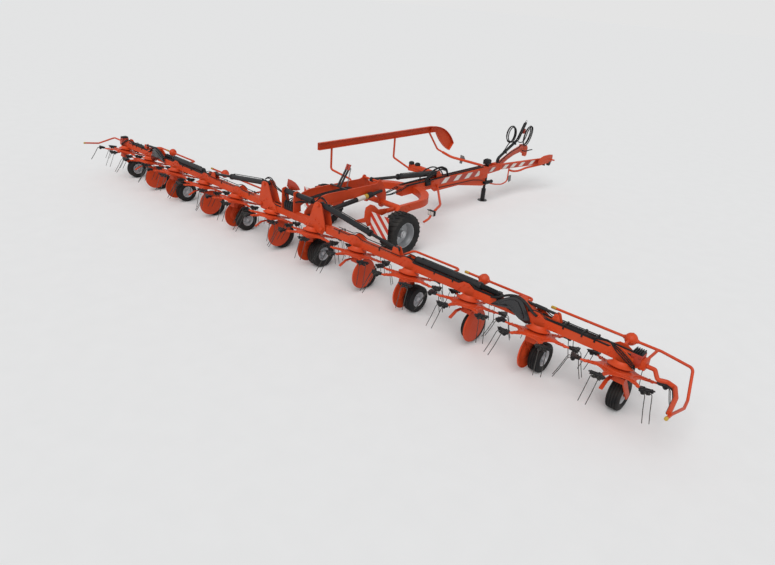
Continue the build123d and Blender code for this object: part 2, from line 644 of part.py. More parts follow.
def drawbar():
    """Box drawbar with the row cylinder's lugs, the head plates and the two hitch arms."""
    half = DRAWBAR_WIDTH / 2
    bar = box_between((-half, DRAWBAR_START, DRAWBAR_LOW), (half, DRAWBAR_END, DRAWBAR_HIGH))
    for side in (-1, 1):
        low, high = sorted((side * half, side * (half + HEAD_PLATE)))
        outline = [(DRAWBAR_END - 300, DRAWBAR_LOW), (HEAD_END - 60, DRAWBAR_LOW + 30),
                   (HEAD_END, DRAWBAR_LOW + 60), (HEAD_END, DRAWBAR_HIGH), (DRAWBAR_END - 300, DRAWBAR_HIGH)]
        bar += plate_yz(outline, low, high)
        lug = [(ROW_LIFT_BASE_Y - 50, DRAWBAR_HIGH), (ROW_LIFT_BASE_Y + 160, DRAWBAR_HIGH),
               (ROW_LIFT_BASE_Y + 45, ROW_LIFT_BASE_Z + 45), (ROW_LIFT_BASE_Y - 50, ROW_LIFT_BASE_Z + 45)]
        low, high = sorted((side * (EYE_WIDTH / 2 + 2), side * (EYE_WIDTH / 2 + 2 + CLEVIS_THICKNESS)))
        bar += plate_yz(lug, low, high)
    reach = EYE_WIDTH / 2 + 2 + CLEVIS_THICKNESS + 8
    bar += round_bar((-reach, ROW_LIFT_BASE_Y, ROW_LIFT_BASE_Z), (reach, ROW_LIFT_BASE_Y, ROW_LIFT_BASE_Z),
                     CYLINDER_PIN_RADIUS)
    bar += box_between((-half, HEAD_END - 140, DRAWBAR_LOW + 50), (half, HEAD_END - 20, DRAWBAR_HIGH))
    wedge = [(WEDGE_START, DRAWBAR_LOW + 1), (DRAWBAR_END, DRAWBAR_LOW + 1), (DRAWBAR_END, WEDGE_LOW),
             (DRAWBAR_END - 120, WEDGE_LOW)]
    bar += plate_yz(wedge, -half + 15, half - 15)
    stripes = [(3410, DRAWBAR_HIGH), (3410, 650), (3520, 575), (5460, 575), (5460, DRAWBAR_HIGH)]
    bar += plate_yz(stripes, half, half + 8)
    bar += bent_tube([(half - 10, 3630, 690), (960, 2620, 690), (1085, 2330, 690), (1100, 2200, 640)], 34, 90)
    end = ARM_END_Y
    straight = [(HEAD_END - 60, 700), (HEAD_END + 40, 690), (end - 130, 690), (end - 60, 675),
                (end - 12, 700), (end, 760), (end - 15, 820), (end - 90, 845), (end - 250, 830),
                (HEAD_END - 60, 820)]
    arched = [(HEAD_END - 60, 700), (6300, 720), (6620, 790), (7000, 835), (7560, 845), (7650, 800),
              (7680, 700),
              (end - 60, 680), (end - 8, 710), (end, 900), (end - 60, 965), (7620, 1000), (7300, 985),
              (6900, 950), (6500, 880), (6200, 830), (HEAD_END - 60, 820)]
    for side, profile in ((1, straight), (-1, arched)):
        inner = side * (half + HEAD_PLATE - 2 * ARM_HALF)
        outer = side * (half + HEAD_PLATE)
        near = side * (ARM_END_X - ARM_HALF)
        far = side * (ARM_END_X + ARM_HALF)
        arm = [(inner, HEAD_END - 60), (outer, HEAD_END - 60), (outer, HEAD_END), (far, ARM_END_Y - 250),
               (far, ARM_END_Y + 20), (near, ARM_END_Y + 20), (near, ARM_END_Y - 240),
               (inner, HEAD_END + 20)]
        bar += plate_xy(arm, 600, 1020) & plate_yz(profile, -2 * ARM_END_X, 2 * ARM_END_X)
        face = ARM_END_X + ARM_HALF
        bar += round_bar((side * face, ARM_END_Y - 60, HITCH_PIN_Z),
                         (side * (face + HITCH_PIN_LENGTH), ARM_END_Y - 60, HITCH_PIN_Z), HITCH_PIN_RADIUS)
    return bar


def wheel_arm():
    """Right wheel's curved arm out from the drawbar, and the plate down to its stub axle."""
    near = WHEEL_ARM_X
    far = near + WHEEL_ARM_THICKNESS
    bend = 2250.0
    root = DRAWBAR_WIDTH / 2
    wide = WHEEL_ARM_WIDE
    knee = 0.62
    front = WHEEL_ARM_ROOT + wide
    edges = [Line((near, 1700), (far, 1700)), Line((far, 1700), (far, bend)),
             ThreePointArc((far, bend), (far * knee, bend + (front - bend) * 0.80), (root, front)),
             Line((root, front), (root, front - 1.4 * wide)),
             ThreePointArc((root, front - 1.4 * wide), (near * knee, bend + (front - bend) * 0.55),
                           (near, bend)),
             Line((near, bend), (near, 1700))]
    arm = extrude(Plane.XY.offset(WHEEL_ARM_LOW) * make_face(edges), WHEEL_ARM_HIGH - WHEEL_ARM_LOW)
    plate = [(1960, WHEEL_ARM_LOW), (1960, WHEEL_ARM_HIGH), (1700, WHEEL_ARM_HIGH), (AXLE_Y - 66, 480),
             (AXLE_Y - 66, ROAD_WHEEL_RADIUS), (AXLE_Y - 30, ROAD_WHEEL_RADIUS - 60),
             (AXLE_Y + 40, ROAD_WHEEL_RADIUS - 60), (AXLE_Y + 100, ROAD_WHEEL_RADIUS + 10), (1760, 600)]
    arm += plate_yz(plate, near, far)
    end = ROAD_WHEEL_X + ROAD_HUB_WIDTH / 2 + 6
    arm += round_bar((near, AXLE_Y, ROAD_WHEEL_RADIUS), (end, AXLE_Y, ROAD_WHEEL_RADIUS), ROAD_STUB_RADIUS)
    return arm


def axle_frame():
    """Cross tube that the row turns on, with both wheel arms."""
    frame = round_bar((-WHEEL_ARM_X, PIVOT_Y, PIVOT_Z), (WHEEL_ARM_X, PIVOT_Y, PIVOT_Z), CROSS_TUBE_RADIUS)
    arm = wheel_arm()
    return frame + arm + mirror(arm, about=Plane.YZ)


def guard_rail():
    """Channel rail on the left with its posts, front plate and stay to the drawbar."""
    low = RAIL_Z - RAIL_HEIGHT / 2
    high = RAIL_Z + RAIL_HEIGHT / 2
    rail = box_between((RAIL_X, RAIL_REAR, low), (RAIL_X + RAIL_WALL, RAIL_FRONT, high))
    for z in (low, high - RAIL_WALL):
        rail += box_between((RAIL_X, RAIL_REAR, z), (RAIL_X + RAIL_DEPTH, RAIL_FRONT, z + RAIL_WALL))
    tip_high = (5898, 1045)
    tip_low = (5749, 884)
    edges = [Line((RAIL_FRONT, low), (RAIL_FRONT, high)),
             Line((RAIL_FRONT, high), (RAIL_FRONT + 200, high - 20)),
             ThreePointArc((RAIL_FRONT + 200, high - 20), (5640, 1325), tip_high), Line(tip_high, tip_low),
             ThreePointArc(tip_low, (5400, 1120), (RAIL_FRONT + 200, low - 5)),
             Line((RAIL_FRONT + 200, low - 5), (RAIL_FRONT, low))]
    nose = make_face(edges)
    rim = nose - offset(nose, -RAIL_WALL)
    rail += extrude(Plane.YZ.offset(RAIL_X) * nose, RAIL_WALL)
    rail += extrude(Plane.YZ.offset(RAIL_X) * rim, RAIL_DEPTH)
    post_x = RAIL_X + RAIL_WALL + TUBE_DIAMETER / 2
    half = DRAWBAR_WIDTH / 2
    foot = -WHEEL_ARM_X - WHEEL_ARM_THICKNESS / 2
    rail += bent_tube([(post_x, 1880, low + 20), (post_x, 1880, 960), (foot, 1880, 890),
                       (foot, 1880, WHEEL_ARM_HIGH)], TUBE_DIAMETER, 60)
    rest_z = (REST_LOW + REST_HIGH) / 2
    rail += plate_xy([(-half, 4010), (-1000, 3900), (-1000, 3990), (-half, 4130)], REST_LOW, REST_HIGH)
    rail += bent_tube([(post_x, 3750, low + 20), (post_x, 3750, 960), (-1000, 3930, rest_z),
                       (-900, 3950, rest_z)], TUBE_DIAMETER, 60)
    front = RAIL_FRONT - 60
    rail += bent_tube([(post_x, front, low + 20), (post_x + 60, RAIL_FRONT + 250, 980), (-1050, 5520, 800),
                       (-half - HEAD_PLATE, 5520, 800)], TUBE_DIAMETER, 110)
    return rail


def stand_sleeve():
    sleeve = round_bar((0, STAND_Y, STAND_SLEEVE_LOW), (0, STAND_Y, STAND_SLEEVE_HIGH), STAND_SLEEVE_RADIUS)
    sleeve -= round_bar((0, STAND_Y, STAND_SLEEVE_LOW - 10), (0, STAND_Y, STAND_SLEEVE_HIGH - 16),
                        STAND_LEG_RADIUS + RUNNING_FIT)
    half = DRAWBAR_WIDTH / 2
    for side in (-1, 1):
        low, high = sorted((side * (STAND_SLEEVE_RADIUS - 6), side * half))
        sleeve += box_between((low, STAND_Y - 20, 700), (high, STAND_Y + 20, 820))
    return sleeve - round_bar((0, STAND_Y, STAND_SLEEVE_LOW - 10), (0, STAND_Y, STAND_SLEEVE_HIGH - 16),
                              STAND_LEG_RADIUS + RUNNING_FIT)


def stand_leg():
    leg = round_bar((0, STAND_Y, 10), (0, STAND_Y, STAND_SLEEVE_LOW + STAND_OVERLAP), STAND_LEG_RADIUS)
    return leg + round_bar((0, STAND_Y, 0), (0, STAND_Y, 12), STAND_FOOT_RADIUS)


def hose_holder():
    """Post that leans forward from the drawbar's head and carries the parked hoses."""
    foot = HEAD_END - 80
    return bent_tube([(0, foot, DRAWBAR_HIGH), (0, foot, 930), (0, 6700, 1290), (0, 6940, 1690)], 36, 60)


def marker_boards():
    """Striped boards behind the road wheels, on brackets from the wheel arms."""
    boards = []
    back = AXLE_Y - ROAD_WHEEL_RADIUS - 60
    for side in (-1, 1):
        low, high = sorted((side * 690, side * 1110))
        board = box_between((low, back - BOARD_THICKNESS, 400), (high, back, 800))
        low, high = sorted((side * 710, side * 750))
        board += box_between((low, back, 410), (high, AXLE_Y - 66, 450))
        boards.append(board)
    return boards


def cylinder_eye(point, along, radius, width):
    """Eye of a cylinder, its bore along the given axis."""
    point = Vector(*point)
    along = Vector(*along)
    return extrude(Plane(origin=point - along * (width / 2), z_dir=along) * Circle(radius), width)


def lift_cylinder(base, eye, axis, barrel_radius, rod_radius, barrel_length, stroke_room):
    """Barrel on its base pin, and the rod that slides in it, ending in an open eye."""
    base = Vector(*base)
    eye = Vector(*eye)
    axis = Vector(*axis)
    way = (eye - base).normalized()
    barrel = round_bar(base + way * (EYE_RADIUS + 26), base + way * barrel_length, barrel_radius)
    barrel -= round_bar(base + way * (barrel_length - stroke_room), base + way * (barrel_length + 5),
                        rod_radius + RUNNING_FIT)
    barrel += round_bar(base, base + way * (2 * EYE_RADIUS), EYE_WIDTH / 2)
    barrel += cylinder_eye(base, axis, EYE_RADIUS, EYE_WIDTH)
    barrel -= cylinder_eye(base, axis, CYLINDER_PIN_RADIUS + RUNNING_FIT, 3 * EYE_WIDTH)
    rod = round_bar(base + way * (barrel_length - 150), eye - way * (EYE_RADIUS - 12), rod_radius)
    rod += cylinder_eye(eye, axis, EYE_RADIUS, EYE_WIDTH)
    rod -= cylinder_eye(eye, axis, CYLINDER_PIN_RADIUS, 3 * EYE_WIDTH)
    return barrel, rod


def section_legs(numbers):
    return [wheel_leg(number) for number in numbers]


def fold_cylinder():
    """Right end section's fold cylinder, along the top of the wing beam, with a boot over its rod."""
    foot = [(FOLD_BASE_X - 80, BEAM_HIGH), (FOLD_BASE_X + 90, BEAM_HIGH), (FOLD_BASE_X + 40, FOLD_Z + 40),
            (FOLD_BASE_X - 30, FOLD_Z + 40)]
    cylinder = plate_xz(foot, BEAM_Y - 25, BEAM_Y + 25)
    base = (FOLD_BASE_X, BEAM_Y, FOLD_Z)
    mouth = (FOLD_BARREL_END, BEAM_Y, FOLD_Z)
    cylinder += round_bar(base, mouth, FOLD_BARREL_RADIUS)
    cylinder += round_bar(mouth, (FOLD_ROD_END, BEAM_Y, FOLD_Z - 10), FOLD_BOOT_RADIUS)
    front = [(FOLD_ROD_END - 90, BEAM_HIGH), (FOLD_ROD_END + 40, BEAM_HIGH), (FOLD_ROD_END + 25, FOLD_Z + 25),
             (FOLD_ROD_END - 30, FOLD_Z + 25)]
    return cylinder + plate_xz(front, BEAM_Y - 25, BEAM_Y + 25)


def shaft_guard():
    """Guarded drive shaft from the bearing on the middle beam up to the joint by the cross tube."""
    front = BEAM_Y + BEAM_WIDTH / 2
    guard = box_between((SHAFT_X - 38, front, BEAM_LOW + 5), (SHAFT_X + 38, front + 80, BEAM_HIGH - 5))
    guard += round_bar((SHAFT_X, front + 40, 780), (SHAFT_X, 1450, 925), SHAFT_RADIUS)
    return guard + round_bar((SHAFT_X, 1440, 924), (SHAFT_X, 1700, 950), 0.7 * SHAFT_RADIUS)


def cross_rod():
    """Dark cylinder across the two fins of the middle beam."""
    return round_bar((-310, BEAM_Y + 30, CROSS_ROD_Z), (440, BEAM_Y + 30, CROSS_ROD_Z),
                     CROSS_ROD_RADIUS - RUNNING_FIT)


def section_drive(numbers, x_low, x_high):
    return [gearbox(number) for number in numbers] + hose_pair(x_low, x_high)


parts = {}
for number in range(1, ROTOR_COUNT + 1):
    parts[f"rotor_{number:02d}"] = rotor(number)
    parts[f"gauge_wheel_{number:02d}"] = gauge_wheel(number)

parts["row_frame"] = row_frame()
parts["row_drive"] = section_drive((6, 7), -560, -300) + [shaft_guard(), cross_rod()]
parts["row_legs"] = section_legs((6, 7))
wing_end = OUTER_PIN_X - OUTER_SPLIT
SIDES = (("right", 1, (3, 4, 5), (1, 2)), ("left", -1, (8, 9, 10), (11, 12)))
for name, side, wing_rotors, outer_rotors in SIDES:
    parts[f"wing_beam_{name}"] = mirrored_x(wing_beam(), side)
    spans = sorted((side * (LIFT_EYE_X + 150), side * (wing_end - 260)))
    parts[f"wing_drive_{name}"] = section_drive(wing_rotors, *spans) + [mirrored_x(fold_cylinder(), side)]
    parts[f"wing_legs_{name}"] = section_legs(wing_rotors)
    parts[f"outer_beam_{name}"] = mirrored_x(outer_beam(), side)
    spans = sorted((side * (OUTER_PIN_X + 300), side * END_BOX_X))
    parts[f"outer_drive_{name}"] = section_drive(outer_rotors, *spans)
    parts[f"outer_legs_{name}"] = section_legs(outer_rotors)
    barrel, rod = lift_cylinder((LIFT_BASE_X, BEAM_Y, LIFT_BASE_Z), (LIFT_EYE_X, BEAM_Y, LIFT_EYE_Z),
                                (0, 1, 0), LIFT_BARREL_RADIUS, LIFT_ROD_RADIUS, LIFT_BARREL_LENGTH,
                                LIFT_STROKE_ROOM)
    parts[f"wing_lift_barrel_{name}"] = mirrored_x(barrel, side)
    parts[f"wing_lift_rod_{name}"] = mirrored_x(rod, side)
    parts[f"road_wheel_{name}"] = road_wheel(side)

parts["wing_guard_right"] = wing_guard_right()
parts["wing_guard_left"] = wing_guard_left()
parts["outer_guard_right"] = outer_guard_right()
parts["outer_guard_left"] = outer_guard_left()
barrel, rod = lift_cylinder((0, ROW_LIFT_BASE_Y, ROW_LIFT_BASE_Z), (0, ROW_LUG_Y, ROW_LUG_Z), (1, 0, 0),
                            ROW_BARREL_RADIUS, ROW_ROD_RADIUS, ROW_BARREL_LENGTH, ROW_STROKE_ROOM)
parts["row_lift_barrel"] = barrel
parts["row_lift_rod"] = rod
parts["drawbar"] = drawbar()
parts["axle_frame"] = axle_frame()
parts["guard_rail"] = guard_rail()
parts["stand_sleeve"] = stand_sleeve()
parts["stand_leg"] = stand_leg()
parts["hose_holder"] = hose_holder()
parts["marker_boards"] = marker_boards()

os.makedirs("parts", exist_ok=True)
for name, shape in parts.items():
    solids = []
    for item in (shape if isinstance(shape, list) else [shape]):
        solids.extend(item.solids())
    node = Compound(children=[Solid(solid.moved(Location((0, ROW_Y, 0))).wrapped) for solid in solids])
    export_step(node, f"parts/{name}.step")
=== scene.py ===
import logging
import math
from dataclasses import dataclass
from enum import Enum
from typing import Iterable, Sequence

import bpy
from mathutils import Matrix, Vector


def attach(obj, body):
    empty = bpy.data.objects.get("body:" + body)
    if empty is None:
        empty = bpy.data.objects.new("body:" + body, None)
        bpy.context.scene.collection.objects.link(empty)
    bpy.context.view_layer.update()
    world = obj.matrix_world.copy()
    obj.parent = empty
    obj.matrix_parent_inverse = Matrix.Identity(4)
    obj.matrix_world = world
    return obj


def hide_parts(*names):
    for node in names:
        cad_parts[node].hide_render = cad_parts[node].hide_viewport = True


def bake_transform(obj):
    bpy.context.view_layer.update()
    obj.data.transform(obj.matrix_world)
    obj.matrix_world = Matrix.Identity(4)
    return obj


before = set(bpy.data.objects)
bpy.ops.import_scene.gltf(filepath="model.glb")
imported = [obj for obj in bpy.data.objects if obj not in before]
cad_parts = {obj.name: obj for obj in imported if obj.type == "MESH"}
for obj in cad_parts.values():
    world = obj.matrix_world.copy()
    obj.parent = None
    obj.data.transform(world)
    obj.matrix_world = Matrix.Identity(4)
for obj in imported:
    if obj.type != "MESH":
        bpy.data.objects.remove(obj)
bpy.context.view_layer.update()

LOG = logging.getLogger("hay_tedder")
Point = tuple[float, float, float]
Flat = tuple[float, float]
Piece = bpy.types.Object
Socket = bpy.types.NodeSocket

# Points nearer than this are merged, in metres.
WELD = 0.00002
# Angles in degrees: edges sharper than these are rounded, or stay hard where a piece is shaded smooth.
BEVEL_ANGLE = 40.0
ROUND_SHADE = 35.0
PLATE_SHADE = 28.0
BOLT_SHADE = 30.0
TUBE_SHADE = 50.0
# Corners in the rounding of a tube's bend.
BEND_STEPS = 5
# Noise of a finish's broad shades and of its dust, in cells per metre, and the height of its grain in metres.
SHADE_CELLS = 1.7
DUST_CELLS = 5.0
GRAIN_HEIGHT = 0.002
# Turns of a piece made along X, so that it stands up along Z or lies along Y, and of a bolt that lies along X.
STAND_UP = Matrix.Rotation(math.radians(-90), 4, "Y")
LIE_ALONG = Matrix.Rotation(math.radians(90), 4, "Z")
LIE_ACROSS = Matrix.Rotation(math.radians(90), 4, "Y")
MIRROR = Matrix.Scale(-1, 4, (1, 0, 0))


class Side(Enum):
    """Right and left of the machine, with their sign along X."""

    RIGHT = 1
    LEFT = -1


class Facing(Enum):
    """Ways that a face looks, as the turn from straight up."""

    REAR = Matrix.Rotation(math.radians(90), 3, "X")
    FRONT = Matrix.Rotation(math.radians(-90), 3, "X")
    RIGHT = Matrix.Rotation(math.radians(90), 3, "Y")
    LEFT = Matrix.Rotation(math.radians(-90), 3, "Y")


class Grain(Enum):
    """Kinds of surface, with the size of their fine grain per metre."""

    PAINT = 60.0
    RUBBER = 220.0
    STEEL = 140.0
    PLASTIC = 180.0


class NodeBook:
    """Small help to write a material's nodes."""

    def __init__(self, name: str) -> None:
        """Starts a material with its shader.

        Args:
            name: Name of the material.
        """
        self.material = bpy.data.materials.new(name)
        self.material.use_nodes = True
        self.tree = self.material.node_tree
        self.shader = self.tree.nodes["Principled BSDF"]
        self.place = self.add("ShaderNodeTexCoord").outputs["Object"]

    def add(self, kind: str, **settings: object) -> bpy.types.Node:
        """Adds a node.

        Args:
            kind: Blender's name of the node type.
            settings: Values of the node's own properties.

        Returns:
            The node.
        """
        node = self.tree.nodes.new(kind)
        for key, value in settings.items():
            setattr(node, key, value)
        return node

    def link(self, source: Socket, target: Socket) -> None:
        """Joins two sockets."""
        self.tree.links.new(source, target)

    def feed(self, value: object, socket: Socket) -> None:
        """Joins a socket to a value or to another socket's output.

        Args:
            value: A number, a colour or another socket.
            socket: The socket that takes it.
        """
        if isinstance(value, Socket):
            self.link(value, socket)
        else:
            socket.default_value = value

    def noise(self, scale: float, detail: float) -> Socket:
        """Adds noise on the object's coordinates.

        Args:
            scale: Cells per metre.
            detail: Octaves.

        Returns:
            The noise's value.
        """
        texture = self.add("ShaderNodeTexNoise")
        texture.inputs["Scale"].default_value = scale
        texture.inputs["Detail"].default_value = detail
        self.link(self.place, texture.inputs["Vector"])
        return texture.outputs["Fac"]

    def ramp(self, value: Socket, low: float, high: float, start: float = 0.0,
             end: float = 1.0) -> Socket:
        """Maps a value from one range to another.

        Args:
            value: Socket that gives the value.
            low: Value that becomes start.
            high: Value that becomes end.
            start: Lowest result.
            end: Highest result.

        Returns:
            The mapped value.
        """
        node = self.add("ShaderNodeMapRange")
        self.link(value, node.inputs["Value"])
        for key, number in (("From Min", low), ("From Max", high), ("To Min", start), ("To Max", end)):
            node.inputs[key].default_value = number
        return node.outputs["Result"]

    def maths(self, operation: str, first: object, second: object = 0.0) -> Socket:
        """Adds a Math node.

        Args:
            operation: Blender's name of the operation.
            first: First number or socket.
            second: Second number or socket.

        Returns:
            The result.
        """
        node = self.add("ShaderNodeMath", operation=operation)
        self.feed(first, node.inputs[0])
        self.feed(second, node.inputs[1])
        return node.outputs[0]

    def mix(self, factor: Socket, first: object, second: object) -> Socket:
        """Mixes two colours.

        Args:
            factor: Share of the second colour.
            first: First colour or socket.
            second: Second colour or socket.

        Returns:
            The mixed colour.
        """
        node = self.add("ShaderNodeMix", data_type="RGBA")
        self.link(factor, node.inputs["Factor"])
        self.feed(first, node.inputs["A"])
        self.feed(second, node.inputs["B"])
        return node.outputs["Result"]

    def bump(self, height: Socket, strength: float, distance: float) -> None:
        """Adds bump to the shader.

        Args:
            height: Socket that gives the height.
            strength: Strength of the effect.
            distance: Height in metres.
        """
        node = self.add("ShaderNodeBump")
        node.inputs["Strength"].default_value = strength
        node.inputs["Distance"].default_value = distance
        self.link(height, node.inputs["Height"])
        self.link(node.outputs["Normal"], self.shader.inputs["Normal"])


def rgba(colour: Point) -> tuple[float, float, float, float]:
    """Adds full opacity to a linear colour."""
    return (*colour, 1.0)


@dataclass(frozen=True)
class Finish:
    """A surface: its colours, gloss, grain, dust and wear."""

    name: str
    slot: str
    colour: Point
    shade: Point
    dust: Point = (0.42, 0.36, 0.29)
    grain: Grain = Grain.PAINT
    rough: Flat = (0.34, 0.5)
    metallic: float = 0.0
    coat: float = 0.0
    dusty: float = 0.18
    bump: float = 0.08
    specular: float = 0.4

    def colours(self, book: NodeBook) -> Socket:
        """Gives the clean surface's colour.

        Args:
            book: The material being written.

        Returns:
            Socket of the colour.
        """
        broad = book.ramp(book.noise(SHADE_CELLS, 3.0), 0.32, 0.68)
        return book.mix(broad, rgba(self.colour), rgba(self.shade))

    def build(self) -> bpy.types.Material:
        """Writes the material.

        Returns:
            The material.
        """
        book = NodeBook(self.name)
        clean = self.colours(book)
        fine = book.noise(self.grain.value, 5.0)
        patches = book.ramp(book.noise(DUST_CELLS, 6.0), 0.46, 0.72)
        normal = book.add("ShaderNodeSeparateXYZ")
        book.link(book.add("ShaderNodeNewGeometry").outputs["Normal"], normal.inputs[0])
        upward = book.ramp(normal.outputs["Z"], 0.1, 0.95, 0.35, 1.0)
        settled = book.maths("MULTIPLY", book.maths("MULTIPLY", patches, upward), self.dusty)
        soiled = book.mix(settled, clean, rgba(self.dust))
        speck = book.ramp(fine, 0.62, 0.8, 0.0, 0.35 * min(1.0, self.dusty * 3))
        book.link(book.mix(speck, soiled, rgba(self.shade)), book.shader.inputs["Base Color"])
        worn = book.maths("ADD", book.ramp(fine, 0.3, 0.7, self.rough[0], self.rough[1]),
                          book.maths("MULTIPLY", settled, 0.6))
        book.link(worn, book.shader.inputs["Roughness"])
        book.shader.inputs["Metallic"].default_value = self.metallic
        book.shader.inputs["Specular IOR Level"].default_value = self.specular
        book.shader.inputs["Coat Weight"].default_value = self.coat
        book.shader.inputs["Coat Roughness"].default_value = 0.2
        book.bump(fine, self.bump, GRAIN_HEIGHT)
        return book.material


@dataclass(frozen=True)
class Striped(Finish):
    """Slanted warning stripes in two colours."""

    stripe: Point = (0.8, 0.79, 0.76)
    pitch: float = 0.2
    along: Point = (1, 0, 1)
    share: float = 0.5

    def colours(self, book: NodeBook) -> Socket:
        """Gives the stripes' colour.

        Args:
            book: The material being written.

        Returns:
            Socket of the colour.
        """
        parts = book.add("ShaderNodeSeparateXYZ")
        book.link(book.place, parts.inputs[0])
        total = 0.0
        for axis, weight in zip("XYZ", self.along):
            if weight:
                step = book.maths("MULTIPLY", parts.outputs[axis], weight / self.pitch)
                total = book.maths("ADD", total, step)
        band = book.maths("GREATER_THAN", book.maths("FRACT", total), self.share)
        return book.mix(band, super().colours(book), rgba(self.stripe))


class Finishes:
    """All finishes of the machine, written once."""

    TABLE = (
        Finish("orange_paint", "orange_paint", (0.62, 0.066, 0.014), (0.52, 0.050, 0.011), coat=0.03,
               rough=(0.42, 0.58), dusty=0.07, specular=0.25),
        Finish("red_paint", "red_paint", (0.42, 0.034, 0.012), (0.33, 0.026, 0.010), coat=0.1,
               rough=(0.34, 0.48), dusty=0.08),
        Finish("black_paint", "black_paint", (0.011, 0.011, 0.013), (0.022, 0.022, 0.024),
               rough=(0.30, 0.45), dusty=0.05, specular=0.2),
        Finish("black_plastic", "black_paint", (0.009, 0.009, 0.010), (0.017, 0.017, 0.019),
               grain=Grain.PLASTIC, rough=(0.42, 0.6), dusty=0.06, specular=0.2),
        Finish("gloss_black", "black_paint", (0.008, 0.008, 0.010), (0.014, 0.014, 0.016),
               grain=Grain.PLASTIC, rough=(0.12, 0.22), coat=0.5, dusty=0.03, bump=0.03),
        Finish("tine_steel", "black_paint", (0.030, 0.029, 0.028), (0.06, 0.055, 0.05),
               grain=Grain.STEEL, metallic=0.6, rough=(0.35, 0.5), dusty=0.05),
        Finish("tyre_rubber", "tyre_rubber", (0.011, 0.011, 0.012), (0.020, 0.020, 0.020),
               grain=Grain.RUBBER, rough=(0.55, 0.8), dusty=0.09, bump=0.25, specular=0.2),
        Finish("hose_rubber", "black_paint", (0.007, 0.007, 0.008), (0.014, 0.014, 0.015),
               grain=Grain.RUBBER, rough=(0.40, 0.6), dusty=0.04, specular=0.2),
        Finish("rim_paint", "board_white", (0.56, 0.57, 0.59), (0.44, 0.45, 0.47),
               grain=Grain.STEEL, metallic=0.30, rough=(0.3, 0.45), dusty=0.1),
        Finish("galvanised", "polished_rod", (0.50, 0.51, 0.52), (0.36, 0.37, 0.39),
               grain=Grain.STEEL, metallic=0.75, rough=(0.3, 0.5), dusty=0.1),
        Finish("yellow_cap", "board_white", (0.52, 0.33, 0.04), (0.42, 0.26, 0.03),
               grain=Grain.PLASTIC, dusty=0.08),
        Finish("stripe_white", "board_white", (0.70, 0.66, 0.62), (0.60, 0.56, 0.52),
               grain=Grain.PLASTIC, dusty=0.15),
        Finish("bare_grey", "polished_rod", (0.24, 0.24, 0.24), (0.15, 0.15, 0.15),
               grain=Grain.STEEL, metallic=0.4),
        Striped("board_stripes", "board_white", (0.66, 0.05, 0.02), (0.55, 0.04, 0.02), dusty=0.1),
    )

    def __init__(self) -> None:
        """Builds each finish's material."""
        self.finish = {finish.name: finish for finish in self.TABLE}
        self.material = {finish.name: finish.build() for finish in self.TABLE}

    def dress(self, piece: Piece, name: str) -> None:
        """Gives a piece one finish.

        Args:
            piece: The piece.
            name: Name of the finish.
        """
        piece.data.materials.clear()
        piece.data.materials.append(self.material[name])


def rest() -> None:
    """Leaves edit mode and deselects everything."""
    if bpy.context.object and bpy.context.object.mode != "OBJECT":
        bpy.ops.object.mode_set(mode="OBJECT")
    bpy.ops.object.select_all(action="DESELECT")


def focus(piece: Piece) -> None:
    """Selects one piece alone and makes it active.

    Args:
        piece: The piece.
    """
    rest()
    piece.select_set(True)
    bpy.context.view_layer.objects.active = piece


def chain(points: Sequence[Point]) -> Piece:
    """Starts a mesh as a chain of edges, and stays in edit mode.

    Args:
        points: The chain's points.

    Returns:
        The new object.
    """
    rest()
    bpy.ops.mesh.primitive_plane_add(size=0.01, location=(0, 0, 0))
    piece = bpy.context.object
    bpy.ops.object.mode_set(mode="EDIT")
    bpy.ops.mesh.merge(type="CENTER")
    here = Vector(points[0])
    bpy.ops.transform.translate(value=here)
    for point in points[1:]:
        step = Vector(point) - here
        bpy.ops.mesh.extrude_region_move(TRANSFORM_OT_translate={"value": step})
        here = Vector(point)
    return piece


def smooth(piece: Piece, degrees: float) -> None:
    """Shades a piece smooth, with edges sharper than an angle kept hard."""
    focus(piece)
    bpy.ops.object.shade_smooth_by_angle(angle=math.radians(degrees))


def tidy_faces(piece: Piece) -> None:
    """Merges doubles and turns all faces outwards.

    Args:
        piece: The piece.
    """
    focus(piece)
    bpy.ops.object.mode_set(mode="EDIT")
    bpy.ops.mesh.select_all(action="SELECT")
    bpy.ops.mesh.remove_doubles(threshold=WELD)
    bpy.ops.mesh.normals_make_consistent(inside=False)
    bpy.ops.object.mode_set(mode="OBJECT")


def turned(profile: Sequence[Flat], steps: int = 48) -> Piece:
    """Turns a profile of (x, r) points about X.

    Args:
        profile: Points along the section, closed where the last is the first.
        steps: Sides of the round.

    Returns:
        The turned piece.
    """
    piece = chain([(x, 0.0, r) for x, r in profile])
    bpy.ops.mesh.select_all(action="SELECT")
    bpy.ops.mesh.spin(steps=steps, angle=math.tau, center=(0, 0, 0), axis=(1, 0, 0))
    bpy.ops.object.mode_set(mode="OBJECT")
    tidy_faces(piece)
    smooth(piece, ROUND_SHADE)
    return piece


def bevelled(piece: Piece, width: float, segments: int = 2) -> Piece:
    """Rounds a piece's edges.

    Args:
        piece: The piece.
        width: Width of the rounding in metres.
        segments: Faces across it.

    Returns:
        The same piece.
    """
    if width > 0:
        focus(piece)
        bevel = piece.modifiers.new("edges", "BEVEL")
        bevel.width = width
        bevel.segments = segments
        bevel.limit_method = "ANGLE"
        bevel.angle_limit = math.radians(BEVEL_ANGLE)
        bpy.ops.object.modifier_apply(modifier=bevel.name)
    return piece


